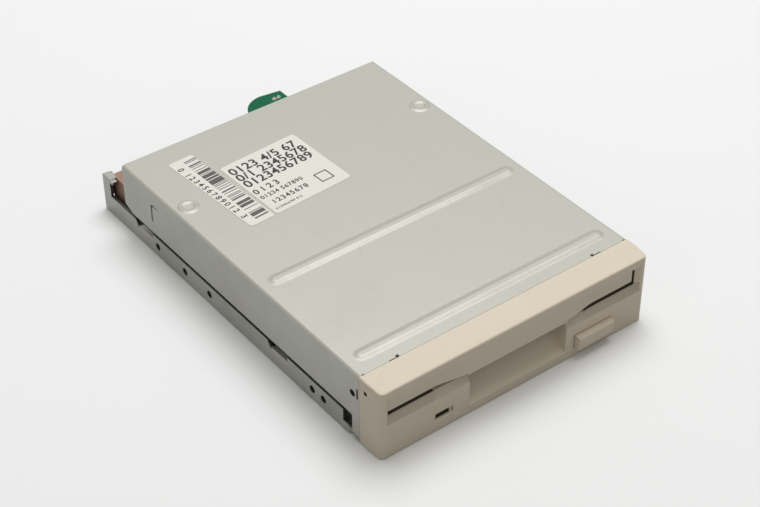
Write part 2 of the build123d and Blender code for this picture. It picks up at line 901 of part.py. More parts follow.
# Base frame: floor, side flanges, rear posts and the tabs that stand on the floor
with BuildPart() as base_frame:
    with BuildSketch(across(depth)):
        with Locations((0, floor_top / 2)):
            Rectangle(width, floor_top)
    extrude(amount=depth - flange_front)
    fillet(base_frame.edges().filter_by(Axis.Y).group_by(Axis.Z)[-1], radius=frame_bend)
    with BuildSketch(across(depth)):
        with Locations((0, floor_low / 2)):
            Rectangle(2 * wall_inner, floor_low)
    extrude(amount=depth - flange_front, mode=Mode.SUBTRACT)
    block((-wall_inner, wall_inner), (floor_front, flange_front + frame_sheet), (floor_low, floor_top))
    behind_floor = (floor_end, depth + overrun)
    block((-wall_inner, wall_inner), behind_floor, (-overrun, floor_top + overrun), Mode.SUBTRACT)
    crossbar_half = wall_inner + frame_sheet / 2
    block((-crossbar_half, crossbar_half), (depth - frame_sheet, depth), (0, crossbar_top))
    for side in (-1, 1):
        wall = sorted((side * wall_inner, side * half))
        # Tongue at the front, folded inwards round a bend
        tongue_line = side * (half - frame_sheet / 2)
        tongue_end = at(tongue_front + frame_sheet / 2)
        with BuildSketch(Plane.XY.offset(relief_rise)):
            with BuildLine():
                FilletPolyline(
                    (tongue_line, at(flange_front)),
                    (tongue_line, tongue_end),
                    (side * (half - tongue_fold), tongue_end),
                    radius=tongue_bend,
                )
            trace(line_width=frame_sheet)
        extrude(amount=tongue_top - relief_rise)
        # Slit along the fold between the flange and the floor
        slit_outer = half - fold_slit_in
        slit = sorted((side * (slit_outer - fold_slit_width), side * slit_outer))
        slit_parts = (
            (flange_front, front_notch_start),
            (front_notch_start + notch_length, rear_notch_start),
            (rear_notch_start + notch_length, floor_end),
        )
        for slit_start, slit_stop in slit_parts:
            span = (slit_start + fold_slit_end, slit_stop - fold_slit_end)
            if span[1] > span[0]:
                block(slit, span, (floor_low, floor_top), Mode.SUBTRACT)
        # Rear corner post, folded round the corner, with a short tab on top
        block(wall, (post_front, depth), (0, post_top))
        fold = sorted((side * (half - post_return), side * half))
        block(fold, (depth - frame_sheet, depth), (0, post_top))
        tab = sorted((side * (half - post_tab_width), side * half))
        tab_back = post_front + frame_sheet
        block(tab, (tab_back - post_tab_length, tab_back), (post_top - frame_sheet, post_top))
        # Slots for the holder's pins in the four uprights
        upright = sorted((side * upright_inner, side * (upright_inner + upright_sheet)))
        for distance in (front_pin_depth, rear_pin_depth):
            spread = (distance - upright_width / 2, distance + upright_width / 2)
            block(upright, spread, (floor_low, upright_top))
            slot_reach = pin_radius + pin_slot_gap
            lowest = pin_height - holder_drop - slot_reach
            opening = (distance - slot_reach, distance + slot_reach)
            block(upright, opening, (lowest, upright_top + overrun), Mode.SUBTRACT)
        # Clip post inside the cover
        clip_outer = half - cover_sheet - seat_gap
        clip = sorted((side * (clip_outer - upright_sheet), side * clip_outer))
        clip_span = (clip_post_depth - clip_post_width / 2, clip_post_depth + clip_post_width / 2)
        # Notches with a ledge folded in at their foot
        for start in (front_notch_start, rear_notch_start):
            with BuildSketch(Plane.YZ.offset(side * (half - notch_edge_cut))):
                with BuildLine():
                    Polyline(
                        (at(start), ledge_top),
                        (at(start + notch_length - notch_slope), ledge_top),
                        (at(start + notch_length), floor_top + frame_sheet),
                        (at(start), floor_top + frame_sheet),
                        close=True,
                    )
                make_face()
            extrude(amount=side * (notch_edge_cut + overrun), mode=Mode.SUBTRACT)
            ledge = sorted((side * (half - ledge_width), side * half))
            block(
                ledge,
                (start + frame_sheet, start + frame_sheet + ledge_length),
                (ledge_top - frame_sheet, ledge_top),
            )
            post(
                side * (half - ledge_width / 2),
                start + frame_sheet + ledge_length / 2,
                (0, floor_top - frame_sheet - sliding_gap),
                ledge_hole_radius,
                Mode.SUBTRACT,
            )
        block(clip, clip_span, (floor_low, clip_post_top))
        # Hook for the eject spring
        hook_inner = spring_offset - spring_hook_width / 2
        hook = sorted((side * hook_inner, side * (hook_inner + spring_hook_width)))
        hook_span = (frame_hook_depth - frame_sheet, frame_hook_depth)
        block(hook, hook_span, (floor_top - frame_sheet, spring_hook_top))
        # Relief steps in the bottom edge
        for start in (front_relief_start, rear_relief_start):
            outside = sorted((side * (wall_inner - frame_sheet), side * (half + overrun)))
            block(outside, (start, start + relief_length), (-overrun, relief_rise), Mode.SUBTRACT)
    # Side fixing holes
    with BuildSketch(Plane.YZ.offset(-half - overrun)):
        with Locations(*[(at(distance), side_hole_height) for distance in side_hole_depths]):
            Circle(side_hole_radius)
    extrude(amount=width + 2 * overrun, mode=Mode.SUBTRACT)
    # Openings in the floor for the rotor and the head carriage
    post(0, spindle_depth, (0, floor_top + overrun), rotor_opening_radius, Mode.SUBTRACT)
    with BuildSketch(Plane.XY.offset(floor_low)):
        opening_x = (head_opening_right - head_opening_left) / 2
        opening_wide = head_opening_left + head_opening_right
        opening_long = head_opening_rear - head_opening_front
        with Locations((opening_x, at(head_opening_front + opening_long / 2))):
            RectangleRounded(opening_wide, opening_long, bracket_round / 2)
    extrude(amount=frame_sheet, mode=Mode.SUBTRACT)
    # Bracket for the stepper motor
    with BuildSketch(across(bracket_depth + frame_sheet)):
        with Locations((screw_x, (floor_low + bracket_top) / 2)):
            Rectangle(2 * bracket_half, bracket_top - floor_low)
    extrude(amount=frame_sheet)
    bracket_edges = base_frame.edges().filter_by(Axis.Y).filter_by_position(
        Axis.Z, bracket_top - seat_gap, bracket_top + seat_gap
    )
    fillet(bracket_edges, radius=bracket_round)
    bar(
        screw_x,
        (bracket_depth - overrun, bracket_depth + frame_sheet + overrun),
        rod_height,
        stepper_boss_radius + seat_gap,
        Mode.SUBTRACT,
    )
    flange_room = stepper_flange_width / 2 + sliding_gap
    block(
        (screw_x - flange_room, screw_x + flange_room),
        (bracket_depth + frame_sheet, floor_end + overrun),
        (floor_low - overrun, floor_top + seat_gap),
        Mode.SUBTRACT,
    )
    # Drawn bosses that the main board is screwed to
    for side in (-1, 1):
        for distance in (board_screw_front, board_screw_rear):
            post(side * board_screw_offset, distance, (board_top, floor_top - frame_sheet / 2), boss_radius)
keep(base_frame, "base_frame")

# Disk holder: a folded cage, open at the front, with rails under the disk's edges
with BuildPart() as disk_holder:
    rail_low = rail_top - holder_sheet
    holder_length = holder_end - holder_front
    with BuildSketch(across(holder_end)):
        with Locations((0, (rail_low + holder_top) / 2)):
            Rectangle(2 * holder_half, holder_top - rail_low)
        with Locations((0, (rail_top + holder_top_low) / 2)):
            Rectangle(2 * (holder_half - holder_sheet), holder_inside, mode=Mode.SUBTRACT)
        with Locations((0, rail_low + holder_sheet / 2)):
            Rectangle(2 * (holder_half - rail_width), 2 * holder_sheet, mode=Mode.SUBTRACT)
    extrude(amount=holder_length)
    fillet(disk_holder.edges().filter_by(Axis.Y).group_by(Axis.Z)[-1], radius=holder_sheet * 1.2)
    # Openings in the roof for the heads, the eject lever and the clamp area
    block(
        (-holder_head_half, holder_head_half),
        (holder_head_front, holder_end + overrun),
        (holder_top_low - sliding_gap, holder_top + overrun),
        Mode.SUBTRACT,
    )
    block(
        (-lever_notch_outer, -lever_notch_inner),
        (lever_notch_front, holder_end + overrun),
        (holder_top_low - sliding_gap, holder_top + overrun),
        Mode.SUBTRACT,
    )
    post(0, spindle_depth, (holder_top_low - sliding_gap, holder_top), holder_window_radius, Mode.SUBTRACT)
    with BuildSketch(Plane.XY.offset(holder_top_low)):
        with Locations(
            (-holder_window_offset, at(holder_window_depth)), (holder_window_offset, at(holder_window_depth))
        ):
            SlotOverall(holder_window_length, holder_window_width, rotation=90)
    extrude(amount=holder_sheet, mode=Mode.SUBTRACT)
    # Rivet seat for the eject lever
    post(
        lever_pivot_x,
        lever_pivot_depth,
        (holder_top - holder_sheet / 2, lever_low),
        lever_rivet_radius,
    )
keep(disk_holder, "disk_holder")

with BuildPart() as holder_pins:
    for side in (-1, 1):
        for distance in (front_pin_depth, rear_pin_depth):
            with BuildSketch(Plane.YZ.offset(side * holder_half)):
                with Locations((at(distance), pin_height)):
                    Circle(pin_radius)
            extrude(amount=side * pin_length)
keep(holder_pins, "holder_pins")

# Slide plate: two side walls with inclined slots, a bridge over the holder and an arm to the button
with BuildPart() as slide_plate:
    for side in (-1, 1):
        wall = sorted((side * slider_inner, side * (slider_inner + slider_sheet)))
        block(wall, (slider_front, slider_end), (slider_low, slider_top))
        slot_length = (eject_travel**2 + holder_drop**2) ** 0.5
        slot_angle = degrees(atan2(-holder_drop, eject_travel))
        with BuildSketch(Plane.YZ.offset(side * (slider_inner - overrun / 2))):
            middles = [
                (at(distance + eject_travel / 2), pin_height - holder_drop / 2)
                for distance in (front_pin_depth, rear_pin_depth)
            ]
            with Locations(*middles):
                SlotCenterToCenter(slot_length, 2 * (pin_radius + pin_slot_gap), rotation=slot_angle)
        extrude(amount=side * overrun, mode=Mode.SUBTRACT)
        # Windows that lighten the walls between the slots
        with BuildSketch(Plane.YZ.offset(side * (slider_inner - overrun / 2))):
            with Locations((at((front_pin_depth + rear_pin_depth) / 2), (slider_low + slider_top) / 2)):
                SlotOverall((rear_pin_depth - front_pin_depth) / 2, (slider_top - slider_low) / 3)
        extrude(amount=side * overrun, mode=Mode.SUBTRACT)
        # Hook tab for the eject spring
        hook_inner = spring_offset - spring_hook_width / 2
        hook = sorted((side * hook_inner, side * (slider_inner + slider_sheet / 2)))
        block(hook, (slider_hook_depth, slider_hook_depth + slider_sheet), (slider_low, spring_hook_top))
    reach = slider_inner + slider_sheet
    block((-reach, reach), (slider_front, bridge_end), (slider_top - slider_sheet, slider_top))
    bridge_middle = (slider_front + bridge_end) / 2
    with BuildSketch(Plane.XY.offset(slider_top - slider_sheet)):
        with Locations((0, at(bridge_middle))):
            RectangleRounded(2 * bridge_window_half, bridge_window_length, slider_sheet)
    extrude(amount=slider_sheet, mode=Mode.SUBTRACT)
    # Strip and arm on the floor that reach the button
    strip_heights = (slider_low, slider_low + slider_sheet)
    block((arm_left, slider_inner + slider_sheet / 2), (strip_front, strip_end), strip_heights)
    block((arm_left, arm_left + arm_width), (button_tab_depth, strip_end), strip_heights)
    block(
        (arm_left, arm_left + arm_width),
        (button_tab_depth, button_tab_depth + slider_sheet),
        (button_low, slider_low + slider_sheet),
    )
    # Catch that the lever holds
    block(
        (-slider_inner - slider_sheet / 2, -slider_inner + catch_length),
        (slider_end - slider_sheet, slider_end),
        (lever_low, slider_top),
    )
keep(slide_plate, "slide_plate")

# Eject springs: a closed body of turns with a flat eye at each end
with BuildPart() as eject_springs:
    spring_start = frame_hook_depth + seat_gap
    spring_end = slider_hook_depth - seat_gap
    eye_length = 2 * spring_radius
    for side in (-1, 1):
        x = side * spring_offset
        bar(x, (spring_start + eye_length, spring_end - eye_length), spring_axis_height, spring_radius)
        block(
            (x - spring_wire / 2, x + spring_wire / 2),
            (spring_start, spring_end),
            (spring_axis_height - spring_radius / 2, spring_axis_height + spring_radius / 2),
        )
keep(eject_springs, "eject_springs")

# Eject lever: a flat arm with a pin that meets the disk and a tail that holds the slide plate
with BuildPart() as eject_lever:
    with BuildSketch(Plane.XY.offset(lever_low + seat_gap)):
        arm_angle = degrees(atan2(lever_pin_depth - lever_pivot_depth, lever_pin_x - lever_pivot_x))
        arm_middle = ((lever_pivot_x + lever_pin_x) / 2, at((lever_pivot_depth + lever_pin_depth) / 2))
        arm_span = ((lever_pin_x - lever_pivot_x) ** 2 + (lever_pin_depth - lever_pivot_depth) ** 2) ** 0.5
        with Locations(arm_middle):
            SlotCenterToCenter(arm_span, lever_arm_width, rotation=arm_angle)
        with Locations((lever_pivot_x, at(lever_pivot_depth))):
            Circle(lever_hub_radius)
        with BuildLine():
            Polyline(
                (lever_pivot_x, at(lever_pivot_depth - lever_tail_width / 2)),
                (lever_tail_x, at(lever_tail_depth - lever_tail_width / 2)),
                (lever_tail_x, at(lever_tail_depth + lever_tail_width / 2)),
                (lever_pivot_x, at(lever_pivot_depth + lever_tail_width)),
                close=True,
            )
        make_face()
        with Locations((lever_pivot_x, at(lever_pivot_depth))):
            Circle(lever_pivot_radius + running_gap, mode=Mode.SUBTRACT)
    extrude(amount=lever_sheet)
    post(
        lever_pin_x,
        lever_pin_depth,
        (holder_top_low - lever_pin_drop, lever_low + seat_gap + lever_sheet / 2),
        lever_pin_radius,
    )
keep(eject_lever, "eject_lever")

with BuildPart() as lever_pivot:
    rivet_low = lever_low
    rivet_high = lever_low + 2 * seat_gap + lever_sheet + lever_spring_height
    post(lever_pivot_x, lever_pivot_depth, (rivet_low, rivet_high), lever_pivot_radius)
    post(lever_pivot_x, lever_pivot_depth, (rivet_high, rivet_high + lever_rivet_head), lever_rivet_radius)
keep(lever_pivot, "lever_pivot")

with BuildPart() as lever_spring:
    with BuildSketch(Plane.XY.offset(lever_low + 2 * seat_gap + lever_sheet)):
        with Locations((lever_pivot_x, at(lever_pivot_depth))):
            Circle(lever_spring_radius)
            Circle(lever_pivot_radius + running_gap, mode=Mode.SUBTRACT)
    extrude(amount=lever_spring_height - seat_gap)
keep(lever_spring, "lever_spring")

# Disk seat pins: the front pair also locates the disk
with BuildPart() as disk_seat_pins:
    for side in (-1, 1):
        post(side * seat_pin_offset, front_seat_depth, (floor_top, seat_top), seat_radius)
        post(side * seat_pin_offset, front_seat_depth, (seat_top, seat_top + locate_rise), locate_radius)
        post(side * seat_pin_offset, rear_seat_depth, (floor_top, seat_top), seat_radius)
    chamfer(disk_seat_pins.faces().group_by(Axis.Z)[-1].edges(), length=locate_radius / 3)
keep(disk_seat_pins, "disk_seat_pins")

# Media switches: three moulded bodies, each with a plunger that the disk presses
switch_places = {
    "write_protect_plunger": (-switch_offset, switch_depth),
    "density_plunger": (switch_offset, switch_depth),
    "disk_plunger": (-disk_switch_offset, switch_depth),
}
with BuildPart() as switch_bodies:
    for x, distance in switch_places.values():
        block(
            (x - switch_width / 2, x + switch_width / 2),
            (distance - switch_length / 2, distance + switch_length / 2),
            (floor_top, floor_top + switch_height),
        )
        post(
            x,
            distance,
            (plunger_bottom - plunger_travel - sliding_gap, floor_top + switch_height),
            plunger_radius + running_gap,
            Mode.SUBTRACT,
        )
keep(switch_bodies, "switch_bodies")
for plunger_name, (x, distance) in switch_places.items():
    with BuildPart() as plunger:
        post(x, distance, (plunger_bottom, seat_top + plunger_proud), plunger_radius)
        chamfer(plunger.faces().sort_by(Axis.Z)[-1].edges(), length=plunger_radius / 3)
    keep(plunger, plunger_name)

# Spindle motor board, under the floor
with BuildPart() as motor_board:
    with BuildSketch(Plane.XY.offset(motor_board_low)):
        with Locations((0, at((motor_board_front + motor_board_end) / 2))):
            RectangleRounded(2 * motor_board_half, motor_board_end - motor_board_front, motor_board_corner)
        with Locations((0, at(spindle_depth))):
            Circle(bearing_radius + seat_gap, mode=Mode.SUBTRACT)
        with Locations((0, at(motor_board_end))):
            Rectangle(head_opening_right, 2 * (motor_board_end - head_opening_front), mode=Mode.SUBTRACT)
        holes = [
            (side * motor_screw_offset, at(distance))
            for side in (-1, 1)
            for distance in (motor_screw_front, motor_screw_rear)
        ]
        with Locations(*holes):
            Circle(board_hole_radius, mode=Mode.SUBTRACT)
    extrude(amount=motor_board_thickness)
keep(motor_board, "motor_board")

with BuildPart() as spindle_bearing:
    post(0, spindle_depth, (bearing_low, bearing_high), bearing_radius)
    post(0, spindle_depth, (motor_board_top, motor_board_top + bearing_flange), bearing_flange_radius)
    bore_heights = (shaft_low - sliding_gap, bearing_high + overrun)
    post(0, spindle_depth, bore_heights, shaft_radius + running_gap, Mode.SUBTRACT)
    chamfer(spindle_bearing.faces().sort_by(Axis.Z)[0].edges(), length=bearing_flange / 2)
keep(spindle_bearing, "spindle_bearing")

with BuildPart() as stator_core:
    with BuildSketch(Plane.XY.offset(stator_height)):
        with Locations((0, at(spindle_depth))):
            Circle(stator_ring_radius)
            with PolarLocations(stator_radius / 2, stator_poles):
                Rectangle(stator_radius, pole_width)
            with PolarLocations(stator_radius - pole_tip_length / 2, stator_poles):
                Rectangle(pole_tip_length, pole_tip_width)
            Circle(bearing_radius + seat_gap, mode=Mode.SUBTRACT)
    extrude(amount=stator_thickness)
keep(stator_core, "stator_core")

with BuildPart() as stator_coils:
    coil_middle = (stator_ring_radius + stator_radius - pole_tip_length) / 2
    coil_low = stator_height + stator_thickness / 2 - coil_height / 2
    with BuildSketch(Plane.XY.offset(coil_low)):
        with Locations((0, at(spindle_depth))):
            with PolarLocations(coil_middle, stator_poles):
                Rectangle(coil_length, coil_width)
    extrude(amount=coil_height)
    with BuildSketch(Plane.XY.offset(stator_height)):
        with Locations((0, at(spindle_depth))):
            with PolarLocations(coil_middle, stator_poles):
                Rectangle(coil_length + overrun, pole_width)
    extrude(amount=stator_thickness, mode=Mode.SUBTRACT)
keep(stator_coils, "stator_coils")

# Rotor: a drawn cup, open below, turned about the spindle axis
spindle_axis = Axis((0, at(spindle_depth), 0), (0, 0, 1))
with BuildPart() as spindle_rotor:
    with BuildSketch(Plane.XZ.offset(-at(spindle_depth))):
        with BuildLine():
            Polyline(
                (shaft_radius, rotor_top - rotor_wall),
                (rotor_step_radius, rotor_top - rotor_wall),
                (rotor_step_radius + rotor_step, rotor_top - rotor_wall - rotor_step),
                (rotor_radius - rotor_wall, rotor_top - rotor_wall - rotor_step),
                (rotor_radius - rotor_wall, rotor_low),
                (rotor_radius, rotor_low),
                (rotor_radius, rotor_top - rotor_step),
                (rotor_step_radius + rotor_step, rotor_top - rotor_step),
                (rotor_step_radius, rotor_top),
                (shaft_radius, rotor_top),
                close=True,
            )
        make_face()
    revolve(axis=spindle_axis)
keep(spindle_rotor, "spindle_rotor")

with BuildPart() as rotor_magnet:
    with BuildSketch(Plane.XY.offset(rotor_low + rotor_step)):
        with Locations((0, at(spindle_depth))):
            Circle(rotor_radius - rotor_wall)
            Circle(rotor_radius - rotor_wall - magnet_thickness, mode=Mode.SUBTRACT)
    extrude(amount=rotor_top - rotor_wall - 2 * rotor_step - rotor_low)
keep(rotor_magnet, "rotor_magnet")

with BuildPart() as spindle_shaft:
    post(0, spindle_depth, (shaft_low, shaft_top), shaft_radius)
    chamfer(spindle_shaft.faces().sort_by(Axis.Z)[-1].edges(), length=shaft_radius / 4)
keep(spindle_shaft, "spindle_shaft")

with BuildPart() as disk_chuck:
    post(0, spindle_depth, (rotor_top, chuck_top), chuck_radius)
    chamfer(disk_chuck.faces().sort_by(Axis.Z)[-1].edges(), length=chuck_chamfer)
    post(0, spindle_depth, (chuck_top - chuck_recess, chuck_top), chuck_recess_radius, Mode.SUBTRACT)
    post(0, spindle_depth, (rotor_top, chuck_top), shaft_radius, Mode.SUBTRACT)
    pin_bore = drive_pin_radius + running_gap
    post(drive_pin_offset, spindle_depth, (rotor_top, chuck_top), pin_bore, Mode.SUBTRACT)
keep(disk_chuck, "disk_chuck")

with BuildPart() as drive_pin:
    post(drive_pin_offset, spindle_depth, (drive_pin_low, drive_pin_top), drive_pin_radius)
    chamfer(drive_pin.faces().sort_by(Axis.Z)[-1].edges(), length=drive_pin_radius / 2)
keep(drive_pin, "drive_pin")

# Head carriage on its guide rod
carriage_front = head_depth - head_lead
carriage_end = carriage_front + carriage_length
arm_pivot_at = head_depth + arm_pivot_depth
with BuildPart() as head_carriage:
    with BuildSketch(Plane.XY.offset(carriage_low)):
        with BuildLine():
            Polyline(
                (-head_block_half, at(carriage_front)),
                (head_block_half, at(carriage_front)),
                (head_block_half, at(carriage_front + carriage_neck)),
                (carriage_half, at(carriage_front + 2 * carriage_neck)),
                (carriage_half, at(carriage_end)),
                (-carriage_half, at(carriage_end)),
                (-carriage_half, at(carriage_front + 2 * carriage_neck)),
                (-head_block_half, at(carriage_front + carriage_neck)),
                close=True,
            )
        make_face()
    extrude(amount=carriage_top - carriage_low)
    # Lightening pocket in the top
    block(
        (-carriage_half + carriage_wall, carriage_half - carriage_wall),
        (carriage_front + 2 * carriage_neck + carriage_wall, arm_pivot_at - arm_ear_radius - carriage_wall),
        (carriage_low + carriage_wall, carriage_top),
        Mode.SUBTRACT,
    )
    # Bushes on the guide rod, joined by a rib
    for start in (bush_front, bush_rear):
        bar(rod_x, (carriage_front + start, carriage_front + start + bush_length), rod_height, bush_radius)
        block(
            (rod_x, -head_block_half),
            (carriage_front + start, carriage_front + start + bush_length),
            (carriage_low, carriage_top),
        )
    bore_span = (carriage_front - overrun, carriage_end + overrun)
    bar(rod_x, bore_span, rod_height, rod_radius + running_gap, Mode.SUBTRACT)
    # Flag that shades the track sensor
    flag_front = carriage_front + bush_rear + (bush_length - flag_length) / 2
    block(
        (flag_left, rod_x),
        (flag_front, flag_front + flag_length),
        (rod_height + rod_radius + running_gap, rod_height + rod_radius + running_gap + flag_thickness),
    )
    # Ears that carry the upper arm
    for side in (-1, 1):
        ear = sorted((side * (arm_half + sliding_gap), side * (arm_half + sliding_gap + arm_ear_thickness)))
        block(
            ear,
            (arm_pivot_at - arm_ear_radius, arm_pivot_at + arm_ear_radius),
            (carriage_low + carriage_wall, arm_pivot_height),
        )
        with BuildSketch(Plane.YZ.offset(ear[0])):
            with Locations((at(arm_pivot_at), arm_pivot_height)):
                Circle(arm_ear_radius)
        extrude(amount=arm_ear_thickness)
    with BuildSketch(Plane.YZ.offset(-carriage_half - overrun)):
        with Locations((at(arm_pivot_at), arm_pivot_height)):
            Circle(arm_pin_radius + running_gap)
    extrude(amount=2 * (carriage_half + overrun), mode=Mode.SUBTRACT)
keep(head_carriage, "head_carriage")

with BuildPart() as lower_head:
    block(
        (-head_block_half, head_block_half),
        (head_depth - head_length / 2, head_depth + head_length / 2),
        (carriage_top, media_height - head_pad_thickness),
    )
    fillet(lower_head.edges().filter_by(Axis.Z), radius=head_pad_thickness / 2)
    block(
        (-head_block_half / 2, head_block_half / 2),
        (head_depth - head_length / 3, head_depth + head_length / 3),
        (media_height - head_pad_thickness, media_height),
    )
keep(lower_head, "lower_head")

# Upper arm, drawn raised, in a plane through its pivot
arm_rise = radians(arm_raise)
arm_plane = Plane(
    origin=(0, at(arm_pivot_at), arm_pivot_height), x_dir=(1, 0, 0), z_dir=(0, sin(arm_rise), cos(arm_rise))
)
arm_reach = arm_pivot_depth + arm_tip
with BuildPart() as upper_arm:
    with BuildSketch(arm_plane.offset(-arm_thickness / 2)):
        with BuildLine():
            Polyline(
                (-arm_half, arm_pin_radius),
                (-arm_half, -arm_pivot_depth / 2),
                (-arm_tip_half, -arm_reach + arm_tip_half),
                (-arm_tip_half, -arm_reach),
                (arm_tip_half, -arm_reach),
                (arm_tip_half, -arm_reach + arm_tip_half),
                (arm_half, -arm_pivot_depth / 2),
                (arm_half, arm_pin_radius),
                close=True,
            )
        make_face()
    extrude(amount=arm_thickness)
    with BuildSketch(Plane.YZ.offset(-arm_half)):
        with Locations((at(arm_pivot_at), arm_pivot_height)):
            Circle(arm_pin_radius + arm_thickness / 2)
    extrude(amount=2 * arm_half)
    pin_end = arm_half + sliding_gap + arm_ear_thickness
    with BuildSketch(Plane.YZ.offset(-pin_end)):
        with Locations((at(arm_pivot_at), arm_pivot_height)):
            Circle(arm_pin_radius)
    extrude(amount=2 * pin_end)
keep(upper_arm, "upper_arm")

with BuildPart() as upper_head:
    head_drop = arm_pivot_height - arm_thickness / 2 - media_height - seat_gap
    with BuildSketch(arm_plane.offset(-arm_thickness / 2)):
        with Locations((0, -arm_pivot_depth)):
            Rectangle(2 * arm_tip_half, head_length)
    extrude(amount=-(head_drop - head_pad_thickness))
    with BuildSketch(arm_plane.offset(-arm_thickness / 2 - head_drop + head_pad_thickness)):
        with Locations((0, -arm_pivot_depth)):
            Rectangle(arm_tip_half, head_length / 2)
    extrude(amount=-head_pad_thickness)
keep(upper_head, "upper_head")

with BuildPart() as arm_spring:
    with BuildSketch(arm_plane.offset(arm_thickness / 2)):
        with Locations((0, -(arm_pivot_depth + arm_ear_radius) / 2)):
            SlotOverall(arm_pivot_depth - arm_ear_radius, 2 * arm_spring_half, rotation=90)
    extrude(amount=arm_spring_thickness)
keep(arm_spring, "arm_spring")

# Follower on the carriage, with a needle in the screw's thread
with BuildPart() as screw_follower:
    follower_at = carriage_front + follower_front
    follower_right = screw_x - screw_radius - follower_gap
    block(
        (carriage_half, follower_right),
        (follower_at, follower_at + follower_length),
        (rod_height - needle_radius * 2, rod_height + needle_radius * 2),
    )
keep(screw_follower, "screw_follower")

with BuildPart() as guide_rod:
    bar(rod_x, (rod_front, rod_end), rod_height, rod_radius)
keep(guide_rod, "guide_rod")

with BuildPart() as rod_clamps:
    for start in (rod_front, rod_end - rod_clamp_length):
        block(
            (rod_x - rod_clamp_width / 2, rod_x + rod_clamp_width / 2),
            (start, start + rod_clamp_length),
            (floor_top, rod_height + rod_radius + frame_sheet / 2),
        )
        bar(rod_x, (start - overrun, start + overrun), rod_height, rod_radius, Mode.SUBTRACT)
keep(rod_clamps, "rod_clamps")

with BuildPart() as track_sensor:
    sensor_front = flag_front + flag_length / 2 - sensor_length / 2
    slot_middle = rod_height + rod_radius + running_gap + flag_thickness / 2
    block(
        (flag_left - sensor_width / 2, flag_left + sensor_width / 2),
        (sensor_front, sensor_front + sensor_length),
        (floor_top, floor_top + sensor_height + sensor_slot / 2),
    )
    block(
        (flag_left - sliding_gap, flag_left + overrun),
        (sensor_front - overrun, sensor_front + sensor_length + overrun),
        (slot_middle - sensor_slot / 2, slot_middle + sensor_slot / 2),
        Mode.SUBTRACT,
    )
keep(track_sensor, "track_sensor")

# Lead screw, its front bearing and the stepper motor
flange_front_face = bracket_depth + frame_sheet
with BuildPart() as lead_screw:
    bar(screw_x, (screw_front, flange_front_face + screw_tail), rod_height, screw_radius)
    bar(screw_x, (screw_front - screw_journal_length, screw_front), rod_height, screw_journal_radius)
keep(lead_screw, "lead_screw")

with BuildPart() as screw_bearing:
    bearing_end = screw_front - sliding_gap
    block(
        (screw_x - bearing_block_width / 2, screw_x + bearing_block_width / 2),
        (bearing_end - bearing_block_length, bearing_end),
        (floor_low, bearing_block_top),
    )
    block(
        (screw_x, head_opening_right + frame_sheet * 3),
        (bearing_end - bearing_block_length, bearing_end),
        (floor_top, floor_top + frame_sheet),
    )
    bar(
        screw_x,
        (screw_front - screw_journal_length - sliding_gap, bearing_end + overrun),
        rod_height,
        screw_journal_radius + running_gap,
        Mode.SUBTRACT,
    )
keep(screw_bearing, "screw_bearing")

with BuildPart() as stepper_motor:
    bar(screw_x, (flange_front_face + stepper_flange, stepper_end), rod_height, stepper_radius)
    boss_span = (flange_front_face - stepper_boss_length, flange_front_face)
    bar(screw_x, boss_span, rod_height, stepper_boss_radius)
    with BuildSketch(across(flange_front_face + stepper_flange)):
        with Locations((screw_x, rod_height)):
            SlotOverall(stepper_flange_width, 2 * stepper_radius - stepper_groove)
    extrude(amount=stepper_flange)
    # Groove between the two halves of the can
    can_middle = (flange_front_face + stepper_flange + stepper_end) / 2
    with BuildSketch(across(can_middle + stepper_groove)):
        with Locations((screw_x, rod_height)):
            Circle(stepper_radius + stepper_groove)
            Circle(stepper_radius - stepper_groove, mode=Mode.SUBTRACT)
    extrude(amount=2 * stepper_groove, mode=Mode.SUBTRACT)
    block(
        (screw_x - terminal_block_half, screw_x + terminal_block_half),
        (terminal_block_front, terminal_block_end),
        (rod_height + stepper_radius / 2, terminal_board_low),
    )
    bar(
        screw_x,
        (flange_front_face - overrun, flange_front_face + screw_tail + sliding_gap),
        rod_height,
        screw_radius + running_gap,
        Mode.SUBTRACT,
    )
keep(stepper_motor, "stepper_motor")

with BuildPart() as terminal_board:
    with BuildSketch(Plane.XY.offset(terminal_board_low)):
        with BuildLine():
            rear_left = (terminal_arc_start, at(terminal_board_rear))
            arc_left = terminal_arc_start - terminal_arc_radius
            arc_end = (arc_left, at(terminal_board_rear - terminal_arc_radius))
            JernArc(rear_left, (-1, 0), terminal_arc_radius, 90)
            Polyline(
                arc_end,
                (arc_end[0], at(terminal_board_front)),
                (terminal_board_right, at(terminal_board_front)),
                (terminal_board_right, at(terminal_board_rear - terminal_board_slope)),
                rear_left,
            )
        make_face()
    extrude(amount=terminal_board_thickness)
    pin_places = [
        (terminal_pin_right - column * terminal_pin_pitch, at(distance))
        for distance in (terminal_pin_rear, terminal_pin_front)
        for column in range(2)
    ]
    with BuildSketch(Plane.XY.offset(terminal_board_low)):
        with Locations(*pin_places):
            RegularPolygon(terminal_pin_radius, terminal_pin_sides)
    extrude(amount=terminal_board_thickness, mode=Mode.SUBTRACT)
keep(terminal_board, "motor_terminal_board")

with BuildPart() as terminal_pins:
    board_face = terminal_board_low + terminal_board_thickness
    with BuildSketch(Plane.XY.offset(terminal_board_low)):
        with Locations(*pin_places):
            RegularPolygon(terminal_pin_radius, terminal_pin_sides)
    extrude(amount=terminal_board_thickness)
    with BuildSketch(Plane.XY.offset(board_face)):
        with Locations(*pin_places):
            RegularPolygon(solder_radius, terminal_pin_sides)
    extrude(amount=solder_rise, taper=40)
keep(terminal_pins, "terminal_pins")

with BuildPart() as stepper_screws:
    for side in (-1, 1):
        x = screw_x + side * (stepper_flange_width / 2 - screw_head)
        bar(x, (bracket_depth - screw_head, bracket_depth), rod_height, screw_head + seat_gap)
keep(stepper_screws, "stepper_screws")

